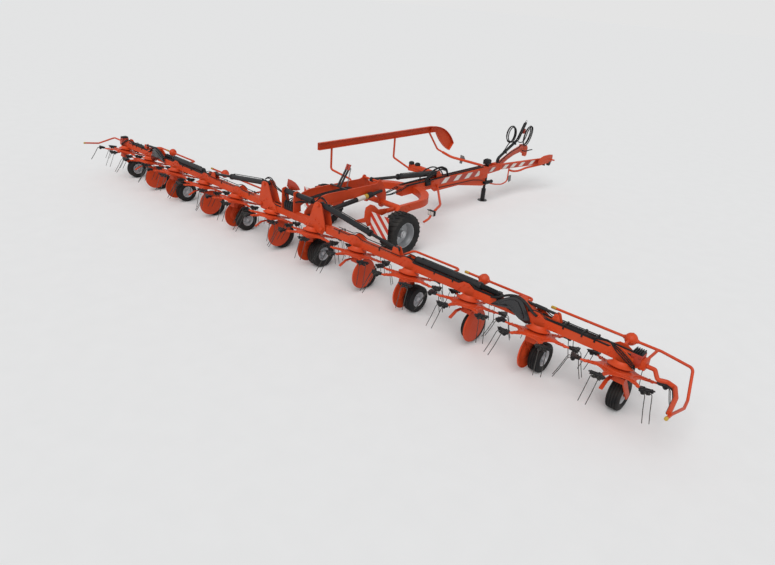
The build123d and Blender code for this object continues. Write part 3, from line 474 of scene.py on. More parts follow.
def plate(outline: Sequence[Flat], low: float, high: float, edge: float = 0.0015) -> Piece:
    """Cuts a plate with an (x, y) outline and rounds its edges.

    Args:
        outline: Points round the plate.
        low: Height of its underside.
        high: Height of its top.
        edge: Width of the rounding.

    Returns:
        The plate.
    """
    piece = chain([(x, y, low) for x, y in outline])
    bpy.ops.mesh.select_all(action="SELECT")
    bpy.ops.mesh.edge_face_add()
    bpy.ops.mesh.select_all(action="SELECT")
    bpy.ops.mesh.extrude_region_move(TRANSFORM_OT_translate={"value": (0, 0, high - low)})
    bpy.ops.object.mode_set(mode="OBJECT")
    tidy_faces(piece)
    bevelled(piece, edge)
    smooth(piece, PLATE_SHADE)
    return piece


def tube(points: Sequence[Point], radius: float, bend: float = 0.0, sides: int = 3) -> Piece:
    """Makes a round bar or tube along straight runs with rounded corners.

    Args:
        points: Corners of its middle line.
        radius: Radius of the bar.
        bend: Length that each corner's rounding takes from the runs.
        sides: Curve resolution round the bar.

    Returns:
        The bar.
    """
    piece = chain(points)
    if bend > 0 and len(points) > 2:
        bpy.ops.mesh.select_all(action="SELECT")
        bpy.ops.mesh.bevel(offset=bend, segments=BEND_STEPS, affect="VERTICES", offset_type="OFFSET")
    bpy.ops.object.mode_set(mode="OBJECT")
    focus(piece)
    bpy.ops.object.convert(target="CURVE")
    piece = bpy.context.object
    piece.data.bevel_depth = radius
    piece.data.bevel_resolution = sides
    piece.data.use_fill_caps = True
    bpy.ops.object.convert(target="MESH")
    piece = bpy.context.object
    tidy_faces(piece)
    smooth(piece, TUBE_SHADE)
    return piece


def block(size: Point, at: Point, edge: float = 0.003) -> Piece:
    """Makes a block with rounded edges.

    Args:
        size: Its lengths along X, Y and Z.
        at: Its middle.
        edge: Width of the rounding.

    Returns:
        The block.
    """
    rest()
    bpy.ops.mesh.primitive_cube_add(size=1.0, location=at, scale=size)
    piece = bpy.context.object
    bpy.ops.object.transform_apply(location=True, rotation=True, scale=True)
    bevelled(piece, edge)
    smooth(piece, PLATE_SHADE)
    return piece


def moved(piece: Piece, place: Matrix) -> Piece:
    """Puts a piece's mesh at a place, with its faces kept outwards.

    Args:
        piece: The piece.
        place: Where it goes.

    Returns:
        The same piece.
    """
    piece.data.transform(place)
    if place.determinant() < 0:
        piece.data.flip_normals()
    piece.data.update()
    return piece


def copied(piece: Piece, place: Matrix) -> Piece:
    """Copies a piece with a mesh of its own and puts it at a place.

    Args:
        piece: The piece.
        place: Where the copy goes.

    Returns:
        The copy.
    """
    twin = piece.copy()
    twin.data = piece.data.copy()
    bpy.context.collection.objects.link(twin)
    return moved(twin, place)


def set_at(piece: Piece, at: Point) -> Piece:
    """Moves a piece to a point."""
    return moved(piece, Matrix.Translation(at))


def lying(start: Point, end: Point) -> Matrix:
    """Gives the place that lays a piece made along X from one point towards another.

    Args:
        start: Point where the piece begins.
        end: Point that it looks at.

    Returns:
        The place.
    """
    way = (Vector(end) - Vector(start)).normalized()
    across = Vector((0, 0, 1)).cross(way).normalized()
    return Matrix.Translation(start) @ Matrix((way, across, way.cross(across))).transposed().to_4x4()


def joined(pieces: Iterable[Piece]) -> Piece:
    """Joins pieces into the first one.

    Args:
        pieces: The pieces.

    Returns:
        The joined piece.
    """
    pieces = list(pieces)
    focus(pieces[0])
    for piece in pieces[1:]:
        piece.select_set(True)
    if len(pieces) > 1:
        bpy.ops.object.join()
    return bpy.context.object


def ring(piece: Piece, count: int, axis: str = "Z", start: float = 0.0) -> Piece:
    """Repeats a piece round an axis and joins the copies.

    Args:
        piece: The piece, which becomes the first copy.
        count: Number of copies.
        axis: Axis through the origin.
        start: Angle of the first copy in degrees.

    Returns:
        The joined ring.
    """
    turns = [Matrix.Rotation(math.radians(start + 360 * i / count), 4, axis) for i in range(count)]
    copies = [copied(piece, turn) for turn in turns[1:]]
    moved(piece, turns[0])
    return joined([piece, *copies])


def bolt(radius: float, height: float) -> Piece:
    """Makes a hexagon bolt head on its washer, standing up along Z from the origin.

    Args:
        radius: Radius of the head.
        height: Height of the head.

    Returns:
        The bolt.
    """
    rest()
    bpy.ops.mesh.primitive_cylinder_add(vertices=6, radius=radius, depth=height, location=(0, 0, height * 0.65))
    head = bevelled(bpy.context.object, radius * 0.12, 1)
    rest()
    bpy.ops.mesh.primitive_cylinder_add(vertices=16, radius=radius * 1.45, depth=height * 0.2,
                                        location=(0, 0, height * 0.1))
    washer = bpy.context.object
    for piece in (head, washer):
        focus(piece)
        bpy.ops.object.transform_apply(location=True, rotation=True, scale=True)
    piece = joined([head, washer])
    smooth(piece, BOLT_SHADE)
    return piece


def sleeve(low: float, high: float, radius: float, bore: float) -> Piece:
    """Turns a plain sleeve along X.

    Args:
        low: Place of its first end.
        high: Place of its other end.
        radius: Outer radius.
        bore: Inner radius.

    Returns:
        The sleeve.
    """
    return turned([(low, bore), (low, radius), (high, radius), (high, bore), (low, bore)], 32)


def plate_xz(outline: Sequence[Flat], low: float, high: float, edge: float = 0.0015) -> Piece:
    """Cuts an upright plate across the machine, from an (x, z) outline, between two y."""
    return moved(plate(outline, low, high, edge), Matrix(((1, 0, 0, 0), (0, 0, 1, 0), (0, 1, 0, 0), (0, 0, 0, 1))))


def plate_yz(outline: Sequence[Flat], low: float, high: float, edge: float = 0.0015) -> Piece:
    """Cuts an upright plate along the machine, from a (y, z) outline, between two x."""
    return moved(plate(outline, low, high, edge), Matrix(((0, 0, 1, 0), (1, 0, 0, 0), (0, 1, 0, 0), (0, 0, 0, 1))))


def heads(radius: float, height: float, face: Facing, spots: Sequence[Point]) -> Piece:
    """Sets bolt heads on a face.

    Args:
        radius: Size of a head.
        height: Height of a head.
        face: Way that the face looks.
        spots: Place of each bolt on the face.

    Returns:
        All heads as one piece.
    """
    model = moved(bolt(radius, height), face.value.to_4x4())
    copies = [copied(model, Matrix.Translation(spot)) for spot in spots[1:]]
    return joined([set_at(model, spots[0]), *copies])


def named(piece: Piece, name: str, finishes: Finishes, finish: str) -> Piece:
    """Names a finished piece and dresses it.

    Args:
        piece: The piece.
        name: Its name.
        finishes: All finishes.
        finish: Name of its finish.

    Returns:
        The piece.
    """
    piece.name = name
    piece.data.name = name
    finishes.dress(piece, finish)
    return piece


def ride(piece: Piece, name: str, body: str, finishes: Finishes, finish: str,
         replaced: Sequence[str] = ()) -> Piece:
    """Names a finished piece, dresses it and sets it on its body.

    Args:
        piece: The piece.
        name: Its name.
        body: The CAD body that it moves with.
        finishes: All finishes.
        finish: Name of its finish.
        replaced: CAD nodes that it stands for.

    Returns:
        The piece.
    """
    named(piece, name, finishes, finish)
    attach(piece, body)
    if replaced:
        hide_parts(*replaced)
    LOG.info("%s rides on %s", name, body)
    return piece


@dataclass
class Machine:
    """Driving sizes of the machine, the same as in the CAD, in metres."""

    pitch: float = 1.060
    count: int = 12
    row_y: float = -3.440
    rotor_y: float = -0.226
    rotor_z: float = 0.617
    tilt: float = 13.8
    phase: float = 24.6
    wheel: float = 0.203
    middle_wheel: float = 0.2285
    axle_y: float = 1.460
    road_x: float = 1.0
    road_wheel: float = 0.390
    beam_y: float = -0.150
    beam_half: float = 0.060
    beam_high: float = 0.835
    saddle: float = 0.008
    outer_rotors: tuple[int, ...] = (1, 2)
    wing_rotors: tuple[int, ...] = (3, 4, 5)
    middle_rotors: tuple[int, ...] = (6, 7)

    def rotor_x(self, number: int) -> float:
        """Gives a rotor's place along the row."""
        return ((self.count + 1) / 2 - number) * self.pitch

    def spindle(self, number: int) -> Matrix:
        """Gives a rotor's own frame, with Z along its spindle."""
        at = Vector((self.rotor_x(number), self.row_y + self.rotor_y, self.rotor_z))
        return Matrix.Translation(at) @ Matrix.Rotation(math.radians(-self.tilt), 4, "X")

    def turn(self, number: int) -> Matrix:
        """Gives a rotor's turn on its spindle at rest."""
        angle = self.phase if number % 2 else 30 - self.phase
        return Matrix.Rotation(math.radians(angle), 4, "Z")

    def wheel_centre(self, number: int) -> Matrix:
        """Gives a gauge wheel's middle."""
        radius = self.middle_wheel if number in self.middle_rotors else self.wheel
        return Matrix.Translation((self.rotor_x(number), self.row_y, radius))

    def row(self) -> Matrix:
        """Gives the shift from the wheels' line to the machine's middle."""
        return Matrix.Translation((0, self.row_y, 0))


@dataclass
class Rotor:
    """A tine rotor: stamped star, arms, winged holders, spring tines."""

    machine: Machine
    finishes: Finishes
    arms: int = 6
    reach: float = 0.360
    waist: float = 0.235
    tip_half: float = 0.022
    plate_half: float = 0.005
    hub: float = 0.088
    hub_low: float = -0.055
    hub_high: float = 0.048
    bar: float = 0.0135
    holder: float = 0.532
    tine: float = 0.0047
    tine_gap: float = 0.092
    tine_root: float = 0.044
    tine_length: float = 0.300
    tine_lean: float = 17.5
    coil: float = 0.024
    coil_step: float = 0.0105
    coil_turns: int = 3
    coil_sides: int = 10
    valley_steps: int = 8

    def star(self) -> Piece:
        """Builds the stamped plate with its concave valleys, rim bead and hub.

        Returns:
            The star.
        """
        outline: list[Flat] = []
        step = math.tau / self.arms
        across = math.atan2(self.tip_half, self.reach)
        for i in range(self.arms):
            middle = i * step + step / 2
            start, end = i * step + across, (i + 1) * step - across
            first = Vector((self.reach * math.cos(start), self.reach * math.sin(start)))
            last = Vector((self.reach * math.cos(end), self.reach * math.sin(end)))
            axis = Vector((math.cos(middle), math.sin(middle)))
            chord = (first + last) / 2
            half = (last - first).length / 2
            sag = chord.dot(axis) - self.waist
            radius = (half * half + sag * sag) / (2 * sag)
            centre = axis * (self.waist + radius)
            ray = first - centre
            turn = ray.angle_signed(last - centre)
            for k in range(self.valley_steps + 1):
                spot = centre + Matrix.Rotation(-turn * (k / self.valley_steps), 2) @ ray
                outline.append((spot.x, spot.y))
        sheet = plate(outline, -self.plate_half, self.plate_half, 0.002)
        inner = [(x * 0.80, y * 0.80) for x, y in outline]
        raised = plate(inner, self.plate_half * 0.5, self.plate_half + 0.010, 0.006)
        cover = turned([(self.plate_half, 0.172), (0.020, 0.166), (0.032, 0.118), (0.040, self.hub),
                        (self.hub_high - 0.004, self.hub), (self.hub_high, self.hub - 0.006),
                        (self.hub_high, 0.034), (self.hub_low, 0.034), (self.hub_low, self.hub - 0.008),
                        (self.hub_low + 0.008, self.hub), (-self.plate_half, self.hub), (-self.plate_half, 0.150),
                        (self.plate_half, 0.172)], 40)
        moved(cover, STAND_UP)
        bolts = ring(set_at(bolt(0.009, 0.010), (0.142, 0, 0.026)), 6, "Z", 30)
        return joined([sheet, raised, cover, bolts])

    def arm(self) -> Piece:
        """Builds one arm's bar, bolted under the star's tip and running into the holder.

        Returns:
            The arm.
        """
        bar = tube([(0.250, 0, -0.012), (0.330, 0, -0.013), (self.holder - 0.06, 0, -0.006)], self.bar, 0.03, 3)
        collar = turned([(0.348, 0.0), (0.348, 0.019), (0.372, 0.019), (0.378, 0.016), (0.378, 0.0)], 20)
        set_at(collar, (0.012, 0, -0.012))
        pair = [set_at(bolt(0.0085, 0.009), (x, 0, self.plate_half)) for x in (0.300, 0.342)]
        return joined([bar, collar, *pair])

    def wings(self) -> Piece:
        """Builds the black winged holder at the end of the arm along +X.

        Returns:
            The holder.
        """
        outer = self.holder
        near = [(outer - 0.112, 0.016), (outer - 0.088, 0.022), (outer - 0.070, 0.040), (outer - 0.054, 0.068),
                (outer - 0.034, 0.093), (outer - 0.012, 0.104), (outer + 0.006, 0.098), (outer + 0.010, 0.070),
                (outer + 0.001, 0.048), (outer + 0.002, 0.026), (outer + 0.014, 0.012)]
        outline = [*near, *((x, -y) for x, y in reversed(near))]
        top = plate(outline, 0.006, 0.020, 0.006)
        rib = block((0.010, 0.170, 0.010), (outer - 0.026, 0, 0.022), 0.003)
        body = block((0.100, 0.054, 0.040), (outer - 0.050, 0, -0.002), 0.010)
        skirts = [block((0.048, 0.030, 0.026), (outer - 0.018, side * self.tine_gap * 0.72, -0.002), 0.007)
                  for side in (-1, 1)]
        eye = turned([(-0.040, 0.0), (-0.040, 0.013), (-0.034, 0.017), (0.034, 0.017), (0.040, 0.013),
                      (0.040, 0.0)], 20)
        moved(eye, Matrix.Translation((outer - 0.020, 0, -0.016)) @ LIE_ALONG)
        head = set_at(bolt(0.011, 0.011), (outer - 0.064, 0, 0.018))
        return joined([top, rib, body, *skirts, eye, head])

    def tines(self) -> Piece:
        """Builds the pair of spring tines with their coils, for the arm along +X.

        Returns:
            The tines.
        """
        lean = math.radians(self.tine_lean)
        run = Vector((math.sin(lean), 0, -math.cos(lean)))
        pieces = []
        for side in (-1, 1):
            coil = []
            start = self.tine_gap / 2 - self.coil_turns * self.coil_step
            for k in range(self.coil_turns * self.coil_sides + 1):
                angle = math.tau * k / self.coil_sides
                across = side * (start + self.coil_step * k / self.coil_sides)
                coil.append((self.holder - 0.020 + self.coil * math.cos(angle), across,
                             -0.016 + self.coil * math.sin(angle)))
            knee = Vector((self.holder + self.tine_root - 0.010, coil[-1][1], -0.018))
            elbow = knee + run * (self.tine_length * 0.55)
            tip = knee + run * (self.tine_length - 0.004) + Vector((0.010, 0, 0))
            pieces.append(tube(coil, self.tine, 0, 1))
            pieces.append(tube([coil[-1], tuple(knee - Vector((0.012, 0, -0.004))), tuple(knee + run * 0.012),
                                tuple(elbow), tuple(tip)], self.tine, 0.008, 1))
        return joined(pieces)

    def build(self) -> None:
        """Builds one rotor in its own frame and copies it to all spindles."""
        parts = (("star", self.star(), "orange_paint"), ("arms", ring(self.arm(), self.arms), "orange_paint"),
                 ("holders", ring(self.wings(), self.arms), "black_plastic"),
                 ("tines", ring(self.tines(), self.arms), "tine_steel"))
        for number in range(1, self.machine.count + 1):
            place = self.machine.spindle(number) @ self.machine.turn(number)
            body = f"rotor_{number:02d}"
            for label, model, finish in parts:
                replaced = (body,) if label == "star" else ()
                ride(copied(model, place), f"{body}_{label}", body, self.finishes, finish, replaced)
        for _, model, _ in parts:
            bpy.data.objects.remove(model)


@dataclass
class GaugeWheel:
    """A small ribbed implement wheel with a deep rim."""

    machine: Machine
    finishes: Finishes
    width: float = 0.165
    middle_width: float = 0.215
    rim: float = 0.108
    hub: float = 0.034
    groove: float = 0.010
    grooves: Flat = (0.58, 0.20)
    nuts: int = 4
    nut_circle: float = 0.060

    def tyre(self, radius: float, width: float) -> Piece:
        """Builds the ribbed tyre.

        Args:
            radius: Outer radius.
            width: Section width.

        Returns:
            The tyre.
        """
        half = width / 2
        high = radius - self.rim
        right = [(half * 0.66, self.rim), (half * 0.84, self.rim + 0.10 * high),
                 (half * 0.97, self.rim + 0.34 * high), (half, self.rim + 0.52 * high),
                 (half * 0.97, self.rim + 0.70 * high), (half * 0.90, self.rim + 0.85 * high),
                 (half * 0.80, self.rim + 0.95 * high)]
        for place in self.grooves:
            middle = half * place
            right += [(middle + 0.0075, radius - 0.0012), (middle + 0.0055, radius - self.groove),
                      (middle - 0.0055, radius - self.groove), (middle - 0.0075, radius)]
        left = [(-x, r) for x, r in reversed(right)]
        return turned([*right, *left, right[0]], 56)

    def rim_parts(self, width: float) -> Piece:
        """Builds the deep rim, its disc, hub and nuts.

        Args:
            width: The tyre's section width.

        Returns:
            The rim.
        """
        half = width / 2 * 0.70
        lip = self.rim + 0.010
        shell = turned([(half, self.rim - 0.004), (half + 0.006, lip), (half + 0.002, lip + 0.001),
                        (half - 0.006, self.rim + 0.001), (-half + 0.006, self.rim + 0.001),
                        (-half - 0.002, lip + 0.001), (-half - 0.006, lip), (-half, self.rim - 0.004),
                        (-half * 0.62, self.rim * 0.86), (-0.010, self.rim * 0.82), (-0.010, self.rim * 0.5),
                        (-0.060, self.hub), (-0.060, 0.0165), (0.060, 0.0165), (0.060, self.hub),
                        (0.012, self.hub + 0.004), (0.006, self.rim * 0.5), (0.006, self.rim * 0.82),
                        (half * 0.62, self.rim * 0.86), (half, self.rim - 0.004)], 48)
        cap = turned([(0.056, 0.0), (0.056, 0.026), (0.066, 0.024), (0.071, 0.016), (0.072, 0.0)], 24)
        nuts = []
        for k in range(self.nuts):
            angle = math.tau * (k + 0.5) / self.nuts
            spot = (0.006, self.nut_circle * math.cos(angle), self.nut_circle * math.sin(angle))
            nuts.append(moved(bolt(0.009, 0.010), Matrix.Translation(spot) @ LIE_ACROSS))
        return joined([shell, cap, *nuts])

    def build(self) -> None:
        """Builds both sizes of wheel and copies them to their stub axles."""
        small = (self.tyre(self.machine.wheel, self.width), self.rim_parts(self.width))
        large = (self.tyre(self.machine.middle_wheel, self.middle_width), self.rim_parts(self.middle_width))
        for number in range(1, self.machine.count + 1):
            tyre, rim = large if number in self.machine.middle_rotors else small
            flip = Matrix.Rotation(math.pi if number % 2 else 0.0, 4, "Z")
            place = self.machine.wheel_centre(number) @ flip
            body = f"gauge_wheel_{number:02d}"
            ride(copied(tyre, place), f"{body}_tyre", body, self.finishes, "tyre_rubber", (body,))
            ride(copied(rim, place), f"{body}_rim", body, self.finishes, "rim_paint")
        for model in (*small, *large):
            bpy.data.objects.remove(model)


@dataclass
class RoadWheel:
    """A wide transport wheel with block lugs and a galvanised deep rim."""

    machine: Machine
    finishes: Finishes
    width: float = 0.340
    rim: float = 0.228
    lugs: int = 26
    hub: float = 0.070
    tread: float = 0.020
    nuts: int = 6
    nut_circle: float = 0.104

    def tyre(self) -> Piece:
        """Builds the carcass and its lugs.

        Returns:
            The tyre.
        """
        half = self.width / 2
        radius = self.machine.road_wheel
        base = radius - self.tread
        right = [(half * 0.74, self.rim), (half * 0.88, self.rim + 0.012), (half * 0.97, self.rim + 0.045),
                 (half, self.rim + 0.080), (half * 0.985, base - 0.040), (half * 0.93, base - 0.012),
                 (half * 0.82, base), (0.0, base + 0.004)]
        left = [(-x, r) for x, r in reversed(right[:-1])]
        pieces = [turned([*right, *left, right[0]], 72)]
        for side in (-1, 1):
            outline = [(0.012, -0.010), (half * 0.55, 0.010), (half * 0.93, 0.034), (half * 0.93, 0.062),
                       (half * 0.50, 0.040), (0.012, 0.018)]
            lug = plate(outline, base - 0.010, radius, 0.003)
            for vertex in lug.data.vertices:
                reach = abs(vertex.co.x) / half
                vertex.co.z -= 0.024 * max(0.0, reach - 0.62) / 0.38
            if side < 0:
                moved(lug, MIRROR)
            start = 0.0 if side > 0 else 180 / self.lugs
            pieces.append(ring(lug, self.lugs, "X", start))
        return joined(pieces)

    def wheel(self) -> Piece:
        """Builds the rim, disc, hub and nuts.

        Returns:
            The wheel.
        """
        half = self.width / 2 * 0.76
        lip = self.rim + 0.014
        shell = turned([(half - 0.004, self.rim - 0.006), (half + 0.006, lip), (half, lip + 0.002),
                        (half - 0.010, self.rim + 0.001), (-half + 0.010, self.rim + 0.001),
                        (-half, lip + 0.002), (-half - 0.006, lip), (-half + 0.004, self.rim - 0.006),
                        (-half * 0.6, self.rim * 0.90), (-0.020, self.rim * 0.88), (-0.026, self.rim * 0.62),
                        (-0.020, self.rim * 0.46), (-0.022, self.hub), (-0.095, self.hub), (-0.095, 0.0325),
                        (0.095, 0.0325), (0.095, self.hub - 0.012), (0.085, self.hub), (-0.010, self.hub + 0.002),
                        (-0.006, self.rim * 0.46), (-0.012, self.rim * 0.62), (-0.006, self.rim * 0.88),
                        (half * 0.45, self.rim * 0.90), (half * 0.62, self.rim * 0.95),
                        (half - 0.004, self.rim - 0.006)], 64)
        cap = turned([(0.090, 0.0), (0.090, 0.044), (0.104, 0.042), (0.112, 0.028), (0.114, 0.0)], 28)
        nuts = []
        for k in range(self.nuts):
            angle = math.tau * k / self.nuts
            spot = (-0.007, self.nut_circle * math.cos(angle), self.nut_circle * math.sin(angle))
            nuts.append(moved(bolt(0.013, 0.018), Matrix.Translation(spot) @ LIE_ACROSS))
        return joined([shell, cap, *nuts])

    def build(self) -> None:
        """Builds one wheel and copies it to both stub axles."""
        tyre = self.tyre()
        wheel = self.wheel()
        for side in Side:
            name = f"road_wheel_{side.name.lower()}"
            at = Matrix.Translation((side.value * self.machine.road_x, self.machine.row_y + self.machine.axle_y,
                                     self.machine.road_wheel))
            place = at @ Matrix.Rotation(0.0 if side is Side.RIGHT else math.pi, 4, "Z")
            ride(copied(tyre, place), f"{name}_tyre", name, self.finishes, "tyre_rubber", (name,))
            ride(copied(wheel, place), f"{name}_rim", name, self.finishes, "galvanised")
        for model in (tyre, wheel):
            bpy.data.objects.remove(model)


@dataclass
class Assembly:
    """Base of the sub-assemblies that are written in the row's frame."""

    machine: Machine
    finishes: Finishes

    def put(self, piece: Piece, name: str, body: str, finish: str) -> Piece:
        """Moves a piece from the row's frame to the machine's and sets it on its body."""
        return ride(moved(piece, self.machine.row()), name, body, self.finishes, finish)

    def both(self, piece: Piece, name: str, stem: str, finish: str) -> None:
        """Sets a piece on the right body and its mirrored twin on the left one.

        Args:
            piece: The piece.
            name: Its name, without the side.
            stem: Its body's name, without the side.
            finish: Name of its finish.
        """
        twin = copied(piece, MIRROR)
        self.put(piece, f"{name}_right", f"{stem}_right", finish)
        self.put(twin, f"{name}_left", f"{stem}_left", finish)

    @property
    def rear(self) -> float:
        """Rear face of the beams."""
        return self.machine.beam_y - self.machine.beam_half

    @property
    def front(self) -> float:
        """Front face of the beams."""
        return self.machine.beam_y + self.machine.beam_half


@dataclass
class Hinges(Assembly):
    """Covers, pins and the hoses that arch over the wings' hinges."""

    wing_pin: Flat = (0.800, 0.780)
    lift_base: Flat = (0.700, 1.150)
    hose: float = 0.012
    bend_from: float = 4.340
    bend_to: float = 4.540
    bend_z: float = 0.90

    def cover(self) -> Piece:
        """Builds the black moulded cover behind the outer hinge.

        Returns:
            The right cover.
        """
        face = self.rear - 0.014
        outline = [(4.060, 0.752), (4.150, 0.835), (4.240, 0.905), (4.330, 0.960), (4.430, 0.992), (4.500, 0.975),
                   (4.570, 0.885), (4.640, 0.780), (4.660, 0.722), (4.600, 0.690), (4.500, 0.715), (4.400, 0.765),
                   (4.300, 0.790), (4.170, 0.765)]
        sheet = plate_xz(outline, face - 0.014, face, 0.006)
        inner = [(4.350 + (x - 4.350) * 0.72, 0.835 + (z - 0.835) * 0.72) for x, z in outline]
        swell = plate_xz(inner, face - 0.030, face - 0.010, 0.014)
        stays = [block((0.030, 0.018, 0.030), (x, self.rear - 0.007, 0.800), 0.003) for x in (4.200, 4.330)]
        return joined([sheet, swell, *stays])

    def pins(self) -> Piece:
        """Builds the washers and nuts on the row's own hinge and cylinder pins.

        Returns:
            The washers and nuts.
        """
        ends = self.machine.beam_half + 0.033
        y = self.machine.beam_y - ends
        spots = [(side * self.wing_pin[0], y, self.wing_pin[1]) for side in (-1, 1)]
        big = heads(0.030, 0.020, Facing.REAR, spots)
        base = [(side * self.lift_base[0], y + 0.004, self.lift_base[1]) for side in (-1, 1)]
        small = heads(0.022, 0.014, Facing.REAR, base)
        corners = [(side * x, self.rear - 0.021, z) for side in (-1, 1)
                   for x, z in ((0.420, 0.775), (0.500, 0.800), (0.580, 0.775), (0.640, 0.900), (0.720, 0.860))]
        return joined([big, small, heads(0.012, 0.011, Facing.REAR, corners)])

    def hoses(self) -> Piece:
        """Builds the hoses that bend over the outer hinge.

        Returns:
            The right hoses.
        """
        runs = []
        for k, across in enumerate((-0.066, -0.078, -0.090)):
            y = self.machine.beam_y + across
            rise = 0.007 * (k % 2)
            runs.append(tube([(4.060, y, 0.850), (4.160, y, 0.880 + rise), (4.300, y, 0.968 + rise),
                              (4.440, y, 1.004 + rise), (4.560, y, 0.955 + rise), (4.680, y, 0.860),
                              (4.730, y, 0.850)], self.hose, 0.05, 2))
        return joined(runs)

    def build(self) -> None:
        """Builds the covers, pins and hoses."""
        self.both(self.cover(), "hinge_cover", "wing", "gloss_black")
        self.put(self.pins(), "hinge_pin_nuts", "row", "orange_paint")
        model = self.hoses()
        for side in Side:
            name = side.name.lower()
            place = self.machine.row() @ Matrix.Scale(side.value, 4, (1, 0, 0))
            piece = named(copied(model, place), f"hinge_hoses_{name}", self.finishes, "hose_rubber")
            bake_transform(piece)
        bpy.data.objects.remove(model)


@dataclass
class Beams(Assembly):
    """Bolts, hoses, fold cylinders' boots and end heads on the beams."""

    fold_z: float = 0.895
    hose: float = 0.0065
    head_x: float = 5.975
    folds: int = 12
    fold_step: float = 0.0195

    def saddle_bolts(self, number: int) -> Piece:
        """Builds the bolts through one saddle's two plates.

        Args:
            number: The rotor's number.

        Returns:
            The bolts.
        """
        x = self.machine.rotor_x(number)
        spots = [(x + along, z) for along, z in ((-0.150, 0.790), (-0.100, 0.845), (-0.020, 0.850),
                                                 (0.060, 0.800), (0.130, 0.760), (-0.180, 0.755))]
        back = heads(0.011, 0.010, Facing.REAR, [(a, self.rear - self.machine.saddle, z) for a, z in spots])
        ahead = heads(0.011, 0.010, Facing.FRONT, [(a, self.front + self.machine.saddle, z) for a, z in spots])
        return joined([back, ahead])

    def gear_hood(self, number: int) -> Piece:
        """Builds the flared hood between one saddle and its rotor.

        Args:
            number: The rotor's number.

        Returns:
            The hood.
        """
        hood = turned([(0.060, 0.080), (0.060, 0.150), (0.066, 0.153), (0.078, 0.128), (0.096, 0.104),
                       (0.122, 0.093), (0.122, 0.080), (0.060, 0.080)], 44)
        back = Matrix.Translation((0, -self.machine.row_y, 0))
        return moved(hood, back @ self.machine.spindle(number) @ STAND_UP)

    def arched_hoses(self, numbers: Sequence[int], start: float, end: float) -> Piece:
        """Builds the thin hoses that lie on a beam and climb over its saddles.

        Args:
            numbers: Rotors of the beam, the innermost first.
            start: Place where the hoses begin.
            end: Place where they end.

        Returns:
            The hoses.
        """
        runs = []
        low = self.machine.beam_high + 0.0275
        for side, lift in ((-1, 0.0), (1, 0.004)):
            y = self.machine.beam_y + side * 0.0535
            path = [(start, y, low)]
            for number in numbers:
                x = self.machine.rotor_x(number)
                top = 0.899 + lift
                path += [(x - 0.200, y, low), (x - 0.110, y, top), (x - 0.010, y, top), (x + 0.080, y, low)]
            path.append((end, y, low))
            runs.append(tube(path, self.hose, 0.03, 2))
        return joined(runs)

    def clips(self, places: Sequence[float]) -> Piece:
        """Builds the clips that hold the hoses on a beam.

        Args:
            places: Places along the beam.

        Returns:
            The clips.
        """
        y, high = self.machine.beam_y, self.machine.beam_high
        parts = []
        for x in places:
            parts.append(block((0.022, 0.134, 0.006), (x, y, high + 0.036), 0.002))
            for side in (-1, 1):
                parts.append(block((0.022, 0.005, 0.060), (x, y + side * 0.0645, high + 0.009), 0.001))
        return joined(parts)

    def boot(self) -> Piece:
        """Builds the folded rubber boot over the fold cylinder's rod.

        Returns:
            The boot.
        """
        profile: list[Flat] = [(0.0, 0.0), (0.0, 0.036)]
        for k in range(self.folds):
            x = 0.006 + self.fold_step * k
            profile += [(x, 0.0375), (x + 0.0075, 0.0375), (x + 0.0105, 0.0310), (x + 0.0165, 0.0310)]
        profile += [(0.240, 0.036), (0.246, 0.036), (0.246, 0.0)]
        turn = Matrix.Rotation(math.radians(2.0), 4, "Y")
        return moved(turned(profile, 28), Matrix.Translation((3.852, self.machine.beam_y, self.fold_z)) @ turn)

    def fold_fittings(self) -> Piece:
        """Builds the fold cylinder's gland, base cap, pipe and unions.

        Returns:
            The fittings.
        """
        y, z = self.machine.beam_y, self.fold_z
        gland = turned([(0.0, 0.0), (0.0, 0.049), (0.008, 0.051), (0.040, 0.051), (0.048, 0.047), (0.048, 0.0)], 32)
        set_at(gland, (3.796, y, z))
        base = turned([(0.0, 0.0), (0.0, 0.040), (0.006, 0.048), (0.050, 0.048), (0.056, 0.046), (0.056, 0.0)], 32)
        set_at(base, (2.738, y, z))
        pipe = tube([(2.830, y, z + 0.040), (2.830, y, z + 0.056), (3.760, y, z + 0.056), (3.760, y, z + 0.040)],
                    0.006, 0.012, 2)
        unions = [block((0.030, 0.026, 0.018), (x, y, z + 0.048), 0.004) for x in (2.830, 3.760)]
        return joined([gland, base, pipe, *unions])

    def end_head(self) -> Piece:
        """Builds the block on the outer end of the beam.

        Returns:
            The block.
        """
        x, y = self.head_x, self.machine.beam_y
        body = block((0.128, 0.134, 0.064), (x, y, 0.858), 0.008)
        cheeks = [block((0.080, 0.008, 0.110), (x + 0.020, y + side * 0.065, 0.800), 0.003) for side in (-1, 1)]
        spots = [(x + along, y - 0.067, 0.860) for along in (-0.035, 0.035)]
        return joined([body, *cheeks, heads(0.012, 0.010, Facing.REAR, spots)])

    def head_fins(self) -> Piece:
        """Builds the black fins on the end block.

        Returns:
            The fins.
        """
        x, y = self.head_x, self.machine.beam_y
        fins = [block((0.013, 0.126, 0.034), (x - 0.048 + 0.024 * k, y, 0.902), 0.003) for k in range(5)]
        return joined([block((0.120, 0.126, 0.012), (x, y, 0.890), 0.003), *fins])

